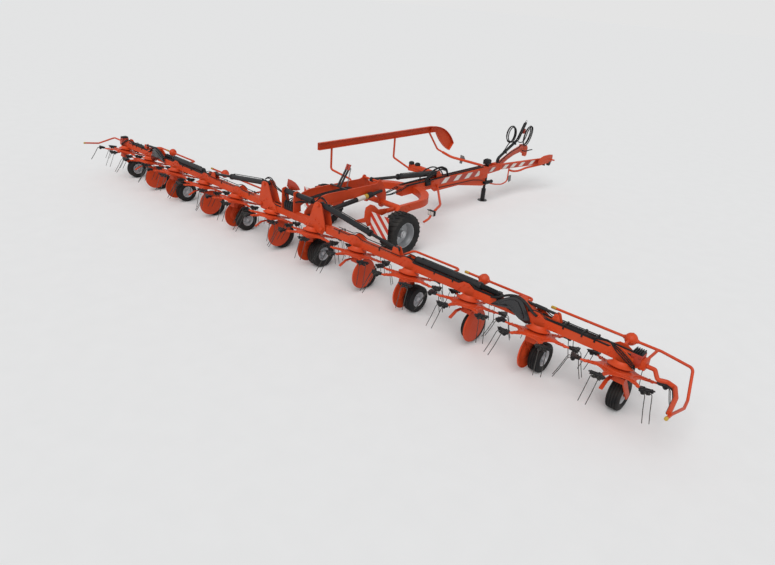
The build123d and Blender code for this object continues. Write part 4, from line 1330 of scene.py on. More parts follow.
    def end_hoses(self) -> Piece:
        """Builds the hoses that run over the last saddle and down to the end gearbox.

        Returns:
            The hoses.
        """
        y = self.rear
        runs = []
        for k in range(3):
            out = 0.024 * k
            runs.append(tube([(4.980 + 0.05 * k, y + 0.028 + out, 0.858), (5.480, y + 0.012 + out * 0.5, 0.862),
                              (5.640, y - 0.004, 0.902 + out * 0.4), (5.760, y - 0.018 - out * 0.4, 0.888 - out),
                              (5.900, y - 0.024 - out * 0.3, 0.812 - out), (5.985, y - 0.022, 0.756 - out),
                              (5.990, y - 0.004, 0.716), (5.930, y + 0.030, 0.694)], self.hose, 0.035, 2))
        return joined(runs)

    def parallel_rod(self) -> Piece:
        """Builds the dark rod from the hinge's knee to its lug on the end section.

        Returns:
            The rod.
        """
        y = self.machine.beam_y
        rod = tube([(4.500, y, 0.944), (4.955, y, 0.934)], 0.018, 0, 4)
        cap = tube([(4.640, y, 0.941), (4.800, y, 0.9375)], 0.0235, 0, 4)
        return joined([rod, cap])

    def lug(self) -> Piece:
        """Builds the lug that holds the rod.

        Returns:
            The lug.
        """
        y = self.machine.beam_y
        outline = [(4.890, 0.833), (5.025, 0.833), (4.985, 0.940), (4.970, 0.955), (4.940, 0.955), (4.925, 0.940)]
        plates = [plate_xz(outline, y + low, y + low + 0.009, 0.002) for low in (-0.034, 0.025)]
        pin = heads(0.014, 0.010, Facing.REAR, [(4.955, y - 0.034, 0.934)])
        return joined([*plates, pin])

    def build(self) -> None:
        """Builds all fittings of the beams, right and left."""
        machine = self.machine
        beams = (("wing", machine.wing_rotors), ("outer", machine.outer_rotors))
        for stem, rotors in beams:
            self.both(joined(map(self.saddle_bolts, rotors)), f"{stem}_saddle_bolts", stem, "orange_paint")
        for stem, rotors in beams:
            self.both(joined(map(self.gear_hood, rotors)), f"{stem}_gear_hoods", stem, "orange_paint")
        self.put(joined(map(self.gear_hood, machine.middle_rotors)), "row_gear_hoods", "row", "orange_paint")
        self.both(self.arched_hoses(machine.wing_rotors[::-1], 1.050, 4.060), "wing_hoses", "wing", "hose_rubber")
        self.both(self.arched_hoses((2,), 4.720, 5.480), "outer_hoses", "outer", "hose_rubber")
        self.both(self.clips((1.180, 2.050, 2.560, 3.100, 3.420, 4.140)), "wing_hose_clips", "wing", "black_plastic")
        self.both(self.clips((5.080, 5.320, 5.480)), "outer_hose_clips", "outer", "black_plastic")
        self.both(self.boot(), "fold_boot", "wing", "hose_rubber")
        self.both(self.fold_fittings(), "fold_fittings", "wing", "black_paint")
        self.both(self.end_head(), "end_head", "outer", "red_paint")
        self.both(self.head_fins(), "end_head_fins", "outer", "black_plastic")
        self.both(self.end_hoses(), "end_hoses", "outer", "hose_rubber")
        self.both(self.parallel_rod(), "fold_stay", "outer", "black_paint")
        self.both(self.lug(), "fold_stay_lug", "outer", "orange_paint")


@dataclass
class LiftCylinders(Assembly):
    """Glands, pipes and unions of the three lift cylinders."""

    base: Point = (0.700, -0.150, 1.150)
    slope: float = 7.812
    barrel: float = 0.045
    length: float = 1.120
    row_base: Point = (0, 3.660, 0.930)
    row_eye: Point = (0, 1.700, 1.100)
    row_barrel: float = 0.052
    row_length: float = 1.250

    def fittings(self, radius: float, length: float) -> Piece:
        """Builds the fittings of a barrel that lies along X from its base pin.

        Args:
            radius: The barrel's radius.
            length: Distance from the pin to the barrel's mouth.

        Returns:
            The fittings.
        """
        gland = turned([(length - 0.050, radius - 0.004), (length - 0.050, radius + 0.005),
                        (length - 0.044, radius + 0.007), (length - 0.008, radius + 0.007), (length, radius + 0.002),
                        (length, radius - 0.004), (length - 0.050, radius - 0.004)], 36)
        cap = turned([(0.066, radius - 0.004), (0.066, radius), (0.074, radius + 0.004), (0.110, radius + 0.004),
                      (0.114, radius - 0.004), (0.066, radius - 0.004)], 36)
        lift = radius + 0.014
        pipe = tube([(0.150, 0.012, radius - 0.004), (0.150, 0.012, lift), (length - 0.090, 0.012, lift),
                     (length - 0.090, 0.012, radius - 0.004)], 0.0065, 0.012, 2)
        unions = [block((0.034, 0.034, 0.020), (x, 0.006, radius + 0.004), 0.004) for x in (0.150, length - 0.090)]
        return joined([gland, cap, pipe, *unions])

    def build(self) -> None:
        """Builds the fittings of the wings' cylinders and of the row's."""
        place = Matrix.Translation(self.base) @ Matrix.Rotation(math.radians(self.slope), 4, "Y")
        wing = moved(self.fittings(self.barrel, self.length), place)
        self.both(wing, "wing_lift_fittings", "wing_lift_barrel", "black_plastic")
        row = moved(self.fittings(self.row_barrel, self.row_length), lying(self.row_base, self.row_eye))
        self.put(row, "row_lift_fittings", "row_lift_barrel", "black_plastic")


@dataclass
class Guards(Assembly):
    """Caps and seams of the front guard tubes, and a black tube of painted shade under the deflector's bar."""

    guard_y: float = 0.215
    guard_z: float = 0.815
    dome: float = 0.077

    def cap(self, at: Point, turn: Matrix, length: float = 0.060) -> Piece:
        """Builds a yellow end cap."""
        piece = turned([(-length, 0.0), (-length, 0.0205), (0.006, 0.0205), (0.014, 0.016), (0.017, 0.0)], 20)
        return moved(piece, Matrix.Translation(at) @ turn)

    def seam(self, x: float) -> Piece:
        """Builds the seam and the neck of a dome.

        Args:
            x: Place of the dome's middle.

        Returns:
            The seam and neck.
        """
        size = self.dome
        band = turned([(-0.004, size - 0.003), (-0.004, size + 0.0035), (0.004, size + 0.0035),
                       (0.004, size - 0.003), (-0.004, size - 0.003)], 40)
        necks = [turned([(side * 0.068, 0.0), (side * 0.068, 0.028), (side * 0.088, 0.024),
                         (side * 0.092, 0.020), (side * 0.092, 0.0)], 24) for side in (-1, 1)]
        return set_at(joined([band, *necks]), (x, self.guard_y, self.guard_z))

    def build(self) -> None:
        """Builds the caps, the domes' seams and the black tube that paints the shade under the deflector's bar."""
        ahead, back = Matrix.Identity(4), Matrix.Rotation(math.pi, 4, "Z")
        level = (self.guard_y, self.guard_z)
        for x, turn, body in ((3.330, back, "wing_right"), (4.700, back, "outer_right"), (-3.040, back, "wing_left"),
                              (-4.640, back, "wing_left"), (-4.720, ahead, "outer_left")):
            self.put(self.cap((x, *level), turn), f"cap_{body}_{abs(x) * 100:.0f}", body, "yellow_cap")
        tip = Matrix.Rotation(math.radians(-90), 4, "Z")
        self.put(self.cap((6.583, -0.840, 0.688), tip, 0.016), "cap_tip_right", "outer_right", "yellow_cap")
        self.put(self.cap((-6.583, -0.800, 0.720), tip, 0.016), "cap_tip_left", "outer_left", "yellow_cap")
        for x, body in ((3.640, "wing_right"), (-2.570, "wing_left"), (-4.538, "wing_left"), (5.740, "outer_right")):
            self.put(self.seam(x), f"dome_seam_{body}_{abs(x) * 100:.0f}", body, "orange_paint")
        # Painted shade: a black tube just inside and under the deflector's bar, where the bar's underside is in
        # shadow.
        underside_shade_tube = tube([(6.250, -0.208, 0.668), (6.344, -0.172, 0.667), (6.434, -0.212, 0.667), (6.508, -0.405, 0.667),
                       (6.552, -0.700, 0.668)], 0.021, 0.03, 3)
        self.put(underside_shade_tube, "deflector_painted_shade", "outer_right", "black_plastic")


@dataclass
class Centre(Assembly):
    """Valves, hoses, drive guard and folding gear on the middle section."""

    shaft_x: float = 0.265
    shaft_bore: float = 0.030
    spools: int = 4
    spool_x: float = -0.185
    spool_step: float = 0.056
    bar_y: float = 0.860
    links: int = 14
    bend_from: float = 0.600
    bend_to: float = 0.790
    bend_z: float = 1.200

    @property
    def spool_places(self) -> list[float]:
        """Places of the spools along the valve bank."""
        return [self.spool_x + self.spool_step * k for k in range(self.spools)]

    def valves(self) -> Piece:
        """Builds the valve bank between the fins.

        Returns:
            The valve bank.
        """
        y = self.front
        base = block((0.220, 0.090, 0.060), (-0.100, y - 0.060, 0.865), 0.005)
        spools = [block((0.040, 0.110, 0.080), (x, y - 0.060, 0.925), 0.006) for x in self.spool_places]
        profile = [(0.0, 0.0), (0.0, 0.015), (0.030, 0.015), (0.034, 0.010), (0.034, 0.0)]
        caps = [set_at(moved(turned(profile, 16), STAND_UP), (x, y - 0.090, 0.960)) for x in self.spool_places]
        return joined([base, *spools, *caps])

    def hoses(self) -> Piece:
        """Builds the hoses from the valves forward between the row's arms.

        Returns:
            The hoses.
        """
        y = self.front
        runs = []
        for k, x in enumerate(self.spool_places):
            runs.append(tube([(x, y - 0.030, 0.965), (x, y + 0.030, 1.020), (x * 0.6, y + 0.200, 0.960 + 0.01 * k),
                              (x * 0.6, y + 0.700, 1.000), (x * 0.5, y + 1.280, 1.020)], 0.010, 0.06, 2))
        return joined(runs)

    def lift_hoses(self, side: int) -> Piece:
        """Builds the two hoses from the valves to one wing's lift cylinder.

        Args:
            side: 1 for the right, -1 for the left.

        Returns:
            The hoses.
        """
        y, middle = self.front, self.machine.beam_y
        runs = []
        for k in range(2):
            rise = 0.02 * k
            apart = middle + 0.02 * k
            runs.append(tube([(side * 0.060 - 0.1, y - 0.080, 0.975), (side * 0.180, y - 0.070, 1.050 + rise),
                              (side * 0.400, middle + 0.03, 1.080 + rise), (side * 0.540, apart, 1.130 + rise),
                              (side * 0.600, apart, 1.230 + rise), (side * 0.700, middle + 0.010, 1.250 + rise),
                              (side * 0.800, middle + 0.012, 1.196)], 0.009, 0.06, 2))
        return joined(runs)

    def fan_plate(self) -> Piece:
        """Builds the fan-shaped plate that stands behind the cross cylinder.

        Returns:
            The plate.
        """
        y = self.machine.beam_y + 0.086
        outline = [(-0.302, 1.188), (-0.270, 1.319), (-0.180, 1.318), (-0.084, 1.301), (-0.010, 1.262),
                   (0.046, 1.205), (-0.060, 1.165), (-0.170, 1.150), (-0.235, 1.147)]
        sheet = plate_xz(outline, y, y + 0.008, 0.002)
        stay = plate_xz([(-0.250, 1.120), (-0.235, 1.200), (-0.190, 1.200), (-0.180, 1.120)], y - 0.010, y, 0.002)
        return joined([sheet, stay])

    def uprights(self) -> tuple[Piece, Piece, Piece]:
        """Builds the pair of upright bars, their red tops and their chain.

        Returns:
            The bars, their tops and the chain.
        """
        pair = (-0.030, 0.030)
        strap = block((0.424, 0.050, 0.012), (0.0, self.bar_y, 1.098), 0.003)
        bars = [tube([(x, self.bar_y, 1.100), (x, 1.047, 1.373), (x, 1.065, 1.412)], 0.019, 0.02, 3) for x in pair]
        tops = [tube([(x, 1.048, 1.376), (x, 1.090, 1.470)], 0.0215, 0, 3) for x in pair]
        links = []
        high, low = Vector((0.060, 1.075, 1.400)), Vector((0.060, 1.005, 1.100))
        for k in range(self.links):
            spot = high.lerp(low, k / (self.links - 1))
            link = turned([(-0.003, 0.008), (0.003, 0.008), (0.003, 0.013), (-0.003, 0.013), (-0.003, 0.008)], 10)
            links.append(moved(link, Matrix.Translation(spot) @ Matrix.Rotation(math.radians(90 * (k % 2)), 4, "Z")))
        bridge = block((0.100, 0.014, 0.014), (0.020, 1.074, 1.404), 0.003)
        return joined([strap, *bars, bridge]), joined(tops), joined(links)

    def shaft_parts(self) -> tuple[Piece, Piece, Piece]:
        """Builds the drive guard's pale and yellow ends and its funnel collars.

        Returns:
            The pale end, the yellow end and the collars.
        """
        bore = self.shaft_bore
        place = lying((self.shaft_x, -0.050, 0.780), (self.shaft_x, 1.450, 0.925))
        pale = moved(sleeve(1.120, 1.300, 0.0450, bore), place)
        yellow = moved(sleeve(1.300, 1.400, 0.0455, bore), place)
        cones = []
        for low, high in ((0.060, 0.200), (1.380, 1.500)):
            steps = [(low + (high - low) * k / 6, 0.052 + 0.004 * (k % 2)) for k in range(7)]
            cones.append(moved(turned([(low, bore), *steps, (high, bore), (low, bore)], 32), place))
        return pale, yellow, joined(cones)

    def build(self) -> None:
        """Builds everything on the middle section."""
        self.put(self.valves(), "valve_bank", "row", "black_plastic")
        self.put(self.hoses(), "centre_hoses", "row", "hose_rubber")
        for side in Side:
            name = side.name.lower()
            piece = moved(self.lift_hoses(side.value), self.machine.row())
            named(piece, f"lift_hoses_{name}", self.finishes, "hose_rubber")
            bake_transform(piece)
        self.put(self.fan_plate(), "fan_plate", "row", "red_paint")
        for piece, name, finish in zip(self.uprights(), ("upright_bars", "upright_tops", "upright_chain"),
                                       ("black_paint", "red_paint", "bare_grey")):
            self.put(piece, name, "row", finish)
        for piece, name, finish in zip(self.shaft_parts(),
                                       ("shaft_guard_pale", "shaft_guard_yellow", "shaft_guard_cones"),
                                       ("stripe_white", "yellow_cap", "black_plastic")):
            self.put(piece, name, "row", finish)


@dataclass
class Chassis(Assembly):
    """Stripes, lamps, stand crank, hitch ends and small gear on the drawbar and the wheel arms."""

    side_x: float = 0.083
    head_x: float = 0.093
    head_y: float = 6.000
    arm_slope: float = 10.85
    rest_z: float = 0.866
    stand_y: float = 5.515

    @property
    def right_arm(self) -> Matrix:
        """Place of a piece that is made along Y for the right hitch arm's outer face."""
        turn = Matrix.Rotation(math.radians(-self.arm_slope), 4, "Z")
        return Matrix.Translation((self.head_x, self.head_y, 0)) @ turn

    def mark(self, at: Flat, ends: Flat, tall: float, face: float, thick: float) -> Piece:
        """Builds one slanted stripe on an upright face.

        Args:
            at: Its middle (y, z).
            ends: How far its foot reaches back and forward of the middle. The top reaches as far the other way.
            tall: Half its height.
            face: Place of the face.
            thick: How far the stripe stands out of the face.

        Returns:
            The stripe.
        """
        (y, z), (back, ahead) = at, ends
        outline = [(y - back, z - tall), (y + ahead, z - tall), (y + back, z + tall), (y - ahead, z + tall)]
        return plate_yz(outline, face - 0.001, face + thick, 0)

    def stripes(self) -> Piece:
        """Builds the pale slanted stripes on the right side of the drawbar and of its hitch arm.

        Returns:
            The stripes.
        """
        drawbar = ((3.885, 0.762), (4.308, 0.752), (4.705, 0.738), (5.090, 0.726))
        marks = [self.mark(at, (0.150, 0.020), 0.055, self.side_x, 0.0012) for at in drawbar]
        marks.append(self.mark((5.620, 0.745), (0.120, 0.010), 0.045, self.head_x, 0.0012))
        arm = ((0.130, 0.745), (0.400, 0.748), (0.690, 0.755), (1.040, 0.762), (1.380, 0.766))
        marks += [moved(self.mark(at, (0.115, 0.010), 0.046, 0.0, 0.0014), self.right_arm) for at in arm]
        return joined(marks)

    def band(self) -> Piece:
        """Builds the thin red band that carries the stripes.

        Returns:
            The band.
        """
        side = plate_yz([(3.680, 0.700), (5.230, 0.664), (5.230, 0.790), (3.680, 0.826)],
                        self.side_x - 0.001, self.side_x + 0.0006, 0)
        head = plate_yz([(5.470, 0.694), (5.770, 0.694), (5.770, 0.800), (5.470, 0.800)],
                        self.head_x - 0.001, self.head_x + 0.0006, 0)
        arm = plate_yz([(0.010, 0.692), (1.520, 0.716), (1.520, 0.818), (0.010, 0.798)], -0.001, 0.0007, 0)
        return joined([side, head, moved(arm, self.right_arm)])

    def bolts(self) -> Piece:
        """Builds the bolts on the drawbar's plates and wheel arms.

        Returns:
            The bolts.
        """
        side = [(self.side_x, y, z) for y, z in ((3.460, 0.640), (3.560, 0.615), (5.420, 0.620),
                                                 (5.420, 0.790), (3.460, 0.800))]
        head = [(self.head_x, y, z) for y, z in ((5.220, 0.690), (5.220, 0.800), (5.900, 0.730),
                                                 (5.900, 0.800), (5.480, 0.800))]
        arms = [(0.770, y, z) for y, z in ((1.940, 0.680), (1.940, 0.750), (1.840, 0.715))]
        right = heads(0.014, 0.012, Facing.RIGHT, [*side, *head, *arms])
        left = heads(0.014, 0.012, Facing.LEFT, [(-self.head_x, y, z) for _, y, z in head])
        return joined([right, left])

    def board_bracket(self, side: int) -> Piece:
        """Builds the plate that carries one marker board.

        Args:
            side: 1 for the right, -1 for the left.

        Returns:
            The bracket.
        """
        outline = [(0.620, 0.713), (0.853, 0.710), (0.862, 0.830), (0.880, 0.895), (0.988, 0.932), (1.095, 0.889),
                   (1.200, 0.800), (1.620, 0.760), (1.660, 0.690), (1.420, 0.690), (1.240, 0.660), (1.112, 0.600),
                   (1.023, 0.536), (0.939, 0.539), (0.900, 0.620), (0.640, 0.660)]
        low, high = sorted((side * 0.670, side * 0.685))
        web = block((0.036, 0.160, 0.060), (side * 0.687, 1.500, 0.725), 0.004)
        return joined([plate_yz(outline, low, high, 0.003), web])

    def lamp(self) -> tuple[Piece, Piece]:
        """Builds the lamp on its tube beside the right wheel.

        Returns:
            The case and the lens.
        """
        case = block((0.150, 0.060, 0.100), (1.105, 2.190, 0.660), 0.012)
        hood = block((0.164, 0.020, 0.010), (1.105, 2.152, 0.712), 0.003)
        lens = joined([block((0.060, 0.012, 0.076), (x, 2.158, 0.660), 0.005) for x in (1.072, 1.138)])
        return joined([case, hood]), lens

    def sleeves(self) -> Piece:
        """Builds the thick sleeves on the lamp's tube and on the rail's front tube.

        Returns:
            The sleeves.
        """
        lamp = tube([(0.066, 3.630, 0.690), (0.960, 2.620, 0.690), (1.085, 2.330, 0.690), (1.100, 2.200, 0.640)],
                    0.0235, 0.09, 4)
        tail = tube([(1.100, 2.200, 0.640), (1.108, 2.120, 0.560), (1.120, 1.960, 0.535)], 0.021, 0.04, 4)
        ahead = tube([(-1.180, 5.340, 0.911), (-1.050, 5.520, 0.800), (-0.094, 5.520, 0.800)], 0.030, 0.08, 4)
        return joined([lamp, tail, ahead])

    def crank(self) -> Piece:
        """Builds the stand's crank box and handle.

        Returns:
            The crank.
        """
        walls = [block((0.021, 0.150, 0.100), (side * 0.0555, 5.505, 0.918), 0.006) for side in (-1, 1)]
        walls += [block((0.110, deep, 0.100), (0.0, y, 0.918), 0.006) for deep, y in ((0.040, 5.450), (0.022, 5.570))]
        lid = block((0.100, 0.110, 0.016), (0.0, 5.505, 0.976), 0.006)
        shaft = tube([(0.060, 5.500, 0.918), (0.115, 5.500, 0.918), (0.115, 5.390, 0.955), (0.165, 5.390, 0.955)],
                     0.010, 0.02, 3)
        return joined([*walls, lid, shaft])

    def loop(self) -> Piece:
        """Builds the bent tube under the hitch."""
        return tube([(0.122, 6.290, 0.720), (0.122, 6.285, 0.370), (0.118, 6.080, 0.325), (0.112, 5.760, 0.375),
                     (0.085, 5.600, 0.420), (0.050, 5.380, 0.470)], 0.015, 0.07, 4)

    def grey_plates(self) -> Piece:
        """Builds the two grey marker plates.

        Returns:
            Both plates.
        """
        low = plate_yz([(6.290, 0.500), (6.300, 0.420), (6.360, 0.330), (6.450, 0.360), (6.430, 0.500)],
                       0.116, 0.126, 0.003)
        high = plate_xz([(-0.800, 0.700), (-0.730, 0.700), (-0.712, 0.790), (-0.650, 0.830), (-0.690, 0.895),
                         (-0.795, 0.905)], 5.540, 5.550, 0.003)
        return joined([low, high])

    def coupling(self) -> Piece:
        """Builds the black coupling beside the stand, with its foot and cable.

        Returns:
            The coupling.
        """
        body = turned([(0.0, 0.0), (0.0, 0.030), (0.010, 0.036), (0.090, 0.036), (0.100, 0.044), (0.160, 0.044),
                       (0.170, 0.034), (0.250, 0.034), (0.256, 0.040), (0.290, 0.040), (0.296, 0.028),
                       (0.296, 0.0)], 28)
        moved(body, Matrix.Translation((0.108, 5.340, 0.470)) @ LIE_ALONG)
        foot = block((0.050, 0.080, 0.050), (0.075, 5.380, 0.470), 0.004)
        cable = tube([(0.108, 5.340, 0.490), (0.112, 5.200, 0.560), (0.098, 4.900, 0.610), (0.090, 4.400, 0.620),
                      (0.090, 3.640, 0.640)], 0.008, 0.06, 2)
        return joined([body, foot, cable])

    def hitch_ends(self) -> Piece:
        """Builds the roller and knob on the right arm and the lever on the left one.

        Returns:
            The fittings.
        """
        roller = turned([(-0.036, 0.0), (-0.036, 0.050), (-0.026, 0.058), (0.026, 0.058), (0.036, 0.050),
                         (0.036, 0.0)], 28)
        set_at(roller, (0.370, 7.715, 0.668))
        knob = turned([(-0.030, 0.0), (-0.030, 0.026), (0.030, 0.026), (0.030, 0.0)], 20)
        set_at(knob, (0.370, 7.480, 0.668))
        lever = tube([(-0.350, 7.540, 0.860), (-0.260, 7.600, 0.850), (-0.215, 7.720, 0.880), (-0.205, 7.815, 0.880)],
                     0.014, 0.03, 3)
        return joined([roller, knob, lever])

    def arm_plates(self) -> Piece:
        """Builds the broad plate on the right arm's end, the bar under the arm and the left arm's ridge.

        Returns:
            The plates.
        """
        end = plate_yz([(7.150, 0.790), (7.260, 0.872), (7.380, 0.900), (7.640, 0.902), (7.800, 0.880),
                        (7.824, 0.850), (7.824, 0.750), (7.780, 0.690), (7.400, 0.684), (7.180, 0.700)],
                       0.384, 0.4005, 0.004)
        bar = tube([(0.124, 6.300, 0.640), (0.150, 6.460, 0.590), (0.190, 6.660, 0.585), (0.240, 6.860, 0.640),
                    (0.320, 7.260, 0.668), (0.350, 7.420, 0.680)], 0.024, 0.07, 4)
        teeth = [block((0.046, 0.034, 0.040), (-0.370, 7.480 + 0.066 * k, 1.000 - 0.003 * k * k), 0.004)
                 for k in range(5)]
        return joined([end, bar, *teeth])

    def post(self) -> Piece:
        """Builds the hoses tied along the hose post and its ring.

        Returns:
            The bundle.
        """
        runs = [tube([(x, 5.925, 0.850), (x, 5.932, 0.944), (x, 6.690, 1.300), (x, 6.925, 1.672)], 0.013, 0.06, 3)
                for x in (-0.027, 0.027)]
        eye = turned([(-0.003, 0.030), (0.003, 0.030), (0.003, 0.036), (-0.003, 0.036), (-0.003, 0.030)], 28)
        set_at(eye, (0.0, 6.950, 1.700))
        lean = Matrix.Rotation(math.radians(25), 4, "X")
        ties = [moved(block((0.096, 0.020, 0.060), (0, 0, 0), 0.004), Matrix.Translation(spot) @ lean)
                for spot in ((0, 6.200, 1.055), (0, 6.560, 1.224))]
        return joined([*runs, eye, *ties])

    def wedge(self) -> Piece:
        """Builds the raised wedge on the wing's rest.

        Returns:
            The wedge.
        """
        outline = [(-1.010, 0.790), (-1.000, self.rest_z - 0.010), (-0.980, self.rest_z), (-0.700, self.rest_z),
                   (-0.075, 0.826), (-0.075, 0.760), (-0.500, 0.780)]
        return plate_xz(outline, 3.915, 4.010, 0.006)

    def jack(self) -> tuple[Piece, Piece]:
        """Builds the lower end of the stand's sleeve and the thick foot tube that slides over it.

        Returns:
            The sleeve's end and the foot tube.
        """
        place = Matrix.Translation((0.0, self.stand_y, 0)) @ STAND_UP
        foot = moved(sleeve(0.022, 0.285, 0.052, 0.0465), place)
        return moved(sleeve(0.385, 0.530, 0.044, 0.036), place), foot

    def buffers(self) -> Piece:
        """Builds the rubber buffers on the wing's rest.

        Returns:
            Both buffers.
        """
        profile = [(0.0, 0.0), (0.0, 0.060), (0.030, 0.062), (0.052, 0.050), (0.062, 0.028), (0.065, 0.0)]
        pair = []
        for x, y in ((-0.950, 3.950), (-0.790, 3.968)):
            pair.append(moved(turned(profile, 28), Matrix.Translation((x, y, self.rest_z)) @ STAND_UP))
        return joined(pair)

    def hoses(self) -> Piece:
        """Builds the hoses along the drawbar from the hose post to the cross tube, with their arcs and couplings.

        Returns:
            The hoses.
        """
        runs = []
        z = 0.842
        for k, x in enumerate((-0.050, -0.026, 0.034, 0.056)):
            runs.append(tube([(x, 5.300, z), (x, 4.000, z), (x * 1.6, 3.620, z), (x * 1.9, 3.300, z + 0.004),
                              (x * 1.6, 2.640, z), (x * 1.5, 2.440, 0.800 - 0.01 * k), (x * 1.5, 2.180, 0.740),
                              (x * 1.4, 1.900, 0.770), (x * 1.4, 1.830, 0.752)], 0.0095, 0.06, 2))
        arcs = []
        for k, x in enumerate((-0.066, 0.058, 0.070, 0.082)):
            rise = 0.025 * (k % 3)
            arcs.append(tube([(x, 3.960, 0.836), (x * 1.3, 3.880, 0.960 + rise), (x * 1.6, 3.640, 1.050 + rise),
                              (x * 1.7, 3.360, 1.010 + rise), (x * 1.5, 3.220, 0.900), (x, 3.200, 0.836)],
                             0.014, 0.08, 2))
        arcs.append(block((0.046, 0.150, 0.080), (0.098, 3.270, 0.786), 0.010))
        arcs += [block((0.040, 0.036, 0.060), (0.098, 3.210 + 0.056 * k, 0.845), 0.006) for k in range(3)]
        return joined([*runs, *arcs])

    def build(self) -> None:
        """Builds everything on the chassis."""
        self.put(self.band(), "drawbar_band", "chassis", "red_paint")
        self.put(self.stripes(), "drawbar_marks", "chassis", "stripe_white")
        self.put(self.bolts(), "chassis_bolts", "chassis", "orange_paint")
        self.put(joined([self.board_bracket(1), self.board_bracket(-1)]), "board_brackets", "chassis", "orange_paint")
        case, lens = self.lamp()
        self.put(case, "lamp_case", "chassis", "black_plastic")
        self.put(lens, "lamp_lens", "chassis", "stripe_white")
        self.put(self.sleeves(), "tube_sleeves", "chassis", "orange_paint")
        self.put(self.crank(), "stand_crank", "chassis", "black_plastic")
        self.put(self.loop(), "hitch_loop", "chassis", "orange_paint")
        self.put(self.grey_plates(), "grey_plates", "chassis", "bare_grey")
        self.put(self.coupling(), "coupling", "chassis", "black_plastic")
        self.put(self.hitch_ends(), "hitch_ends", "chassis", "black_paint")
        self.put(self.arm_plates(), "hitch_arm_plates", "chassis", "orange_paint")
        self.put(self.post(), "hose_post_bundle", "chassis", "hose_rubber")
        bracket = block((0.060, 0.090, 0.110), (0.0, 6.900, 1.480), 0.008)
        self.put(bracket, "hose_bracket", "chassis", "red_paint")
        self.put(self.wedge(), "rest_wedge", "chassis", "orange_paint")
        upper, foot = self.jack()
        self.put(upper, "stand_sleeve_end", "chassis", "black_paint")
        self.put(foot, "stand_foot_tube", "stand", "black_paint")
        self.put(self.buffers(), "rest_buffers", "chassis", "tyre_rubber")
        self.put(self.hoses(), "chassis_hoses", "chassis", "hose_rubber")


@dataclass
class SupplyHoses(Assembly):
    """The parked supply hoses, hung in loops from the top of the hose post."""

    radius: float = 0.012
    steps: int = 8
    first_turn: float = 250.0

    def cord(self, name: str, points: Sequence[Point], length: float) -> None:
        """Lays one free hose.

        Args:
            name: The hose's name.
            points: Points of its line.
            length: Its real length. Not used.
        """
        curve = bpy.data.curves.new(name, "CURVE")
        curve.dimensions = "3D"
        line = curve.splines.new("NURBS")
        line.points.add(len(points) - 1)
        for spot, point in zip(line.points, points):
            spot.co = (point[0], point[1] + self.machine.row_y, point[2], 1.0)
        line.order_u = 3
        line.use_endpoint_u = True
        curve.bevel_depth = self.radius
        curve.bevel_resolution = 3
        curve.resolution_u = curve.render_resolution_u = 6
        piece = bpy.data.objects.new(name, curve)
        bpy.context.collection.objects.link(piece)
        self.finishes.dress(piece, "hose_rubber")
        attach(piece, "chassis")
        LOG.info("%s hangs from the chassis", name)

    def coil(self, centre: Flat, size: Flat, lean: float, turns: int, x: float, drift: float) -> list[Point]:
        """Gives the points of a loose upright coil.

        Args:
            centre: Its middle (y, z).
            size: Its half length and half height before it leans.
            lean: Lean in degrees, forward.
            turns: Number of turns.
            x: Place of the first turn across the machine.
            drift: Step across from turn to turn.

        Returns:
            The points.
        """
        points = []
        turn = Matrix.Rotation(math.radians(-lean), 2)
        for k in range(turns * self.steps + 1):
            angle = math.tau * k / self.steps + math.radians(self.first_turn)
            laid = k / self.steps
            wobble = 1.0 - 0.10 * math.sin(2.3 * laid) - 0.10 * laid / turns
            spot = turn @ Vector((size[0] * wobble * math.cos(angle), size[1] * wobble * math.sin(angle)))
            points.append((x + drift * laid, centre[0] + spot.x, centre[1] + spot.y))
        return points

    def build(self) -> None:
        """Hangs both coils."""
        left = [(-0.030, 5.960, 0.842), (-0.040, 6.060, 0.960), (-0.046, 6.250, 1.090),
                *self.coil((6.520, 1.430), (0.185, 0.205), 14, 3, -0.050, -0.027),
                (-0.110, 6.560, 1.215), (-0.024, 6.620, 1.256)]
        right = [(0.030, 5.960, 0.842), (0.040, 6.080, 0.930), (0.046, 6.420, 1.060), (0.050, 6.700, 1.110),
                 *self.coil((6.960, 1.380), (0.145, 0.265), 27, 3, 0.050, 0.027)[:-1],
                 (0.108, 6.765, 1.262), (0.060, 6.710, 1.232), (0.020, 6.685, 1.256)]
        self.cord("supply_hose_left", left, 4.10)
        self.cord("supply_hose_right", right, 4.50)


@dataclass
class CarriedNodes:
    """The CAD nodes that stay in view, each with its finish."""

    finishes: Finishes
    rules: tuple[tuple[str, str], ...] = (
        ("drive", "black_paint"), ("_lift_", "black_paint"), ("hose_holder", "black_paint"),
        ("stand", "black_paint"), ("boards", "board_stripes"), ("", "orange_paint"))

    def build(self) -> None:
        """Dresses each node by the first rule that fits its name."""
        for name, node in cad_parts.items():
            finish = next(finish for part, finish in self.rules if part in name)
            self.finishes.dress(node, finish)
            LOG.info("%s wears %s", name, finish)


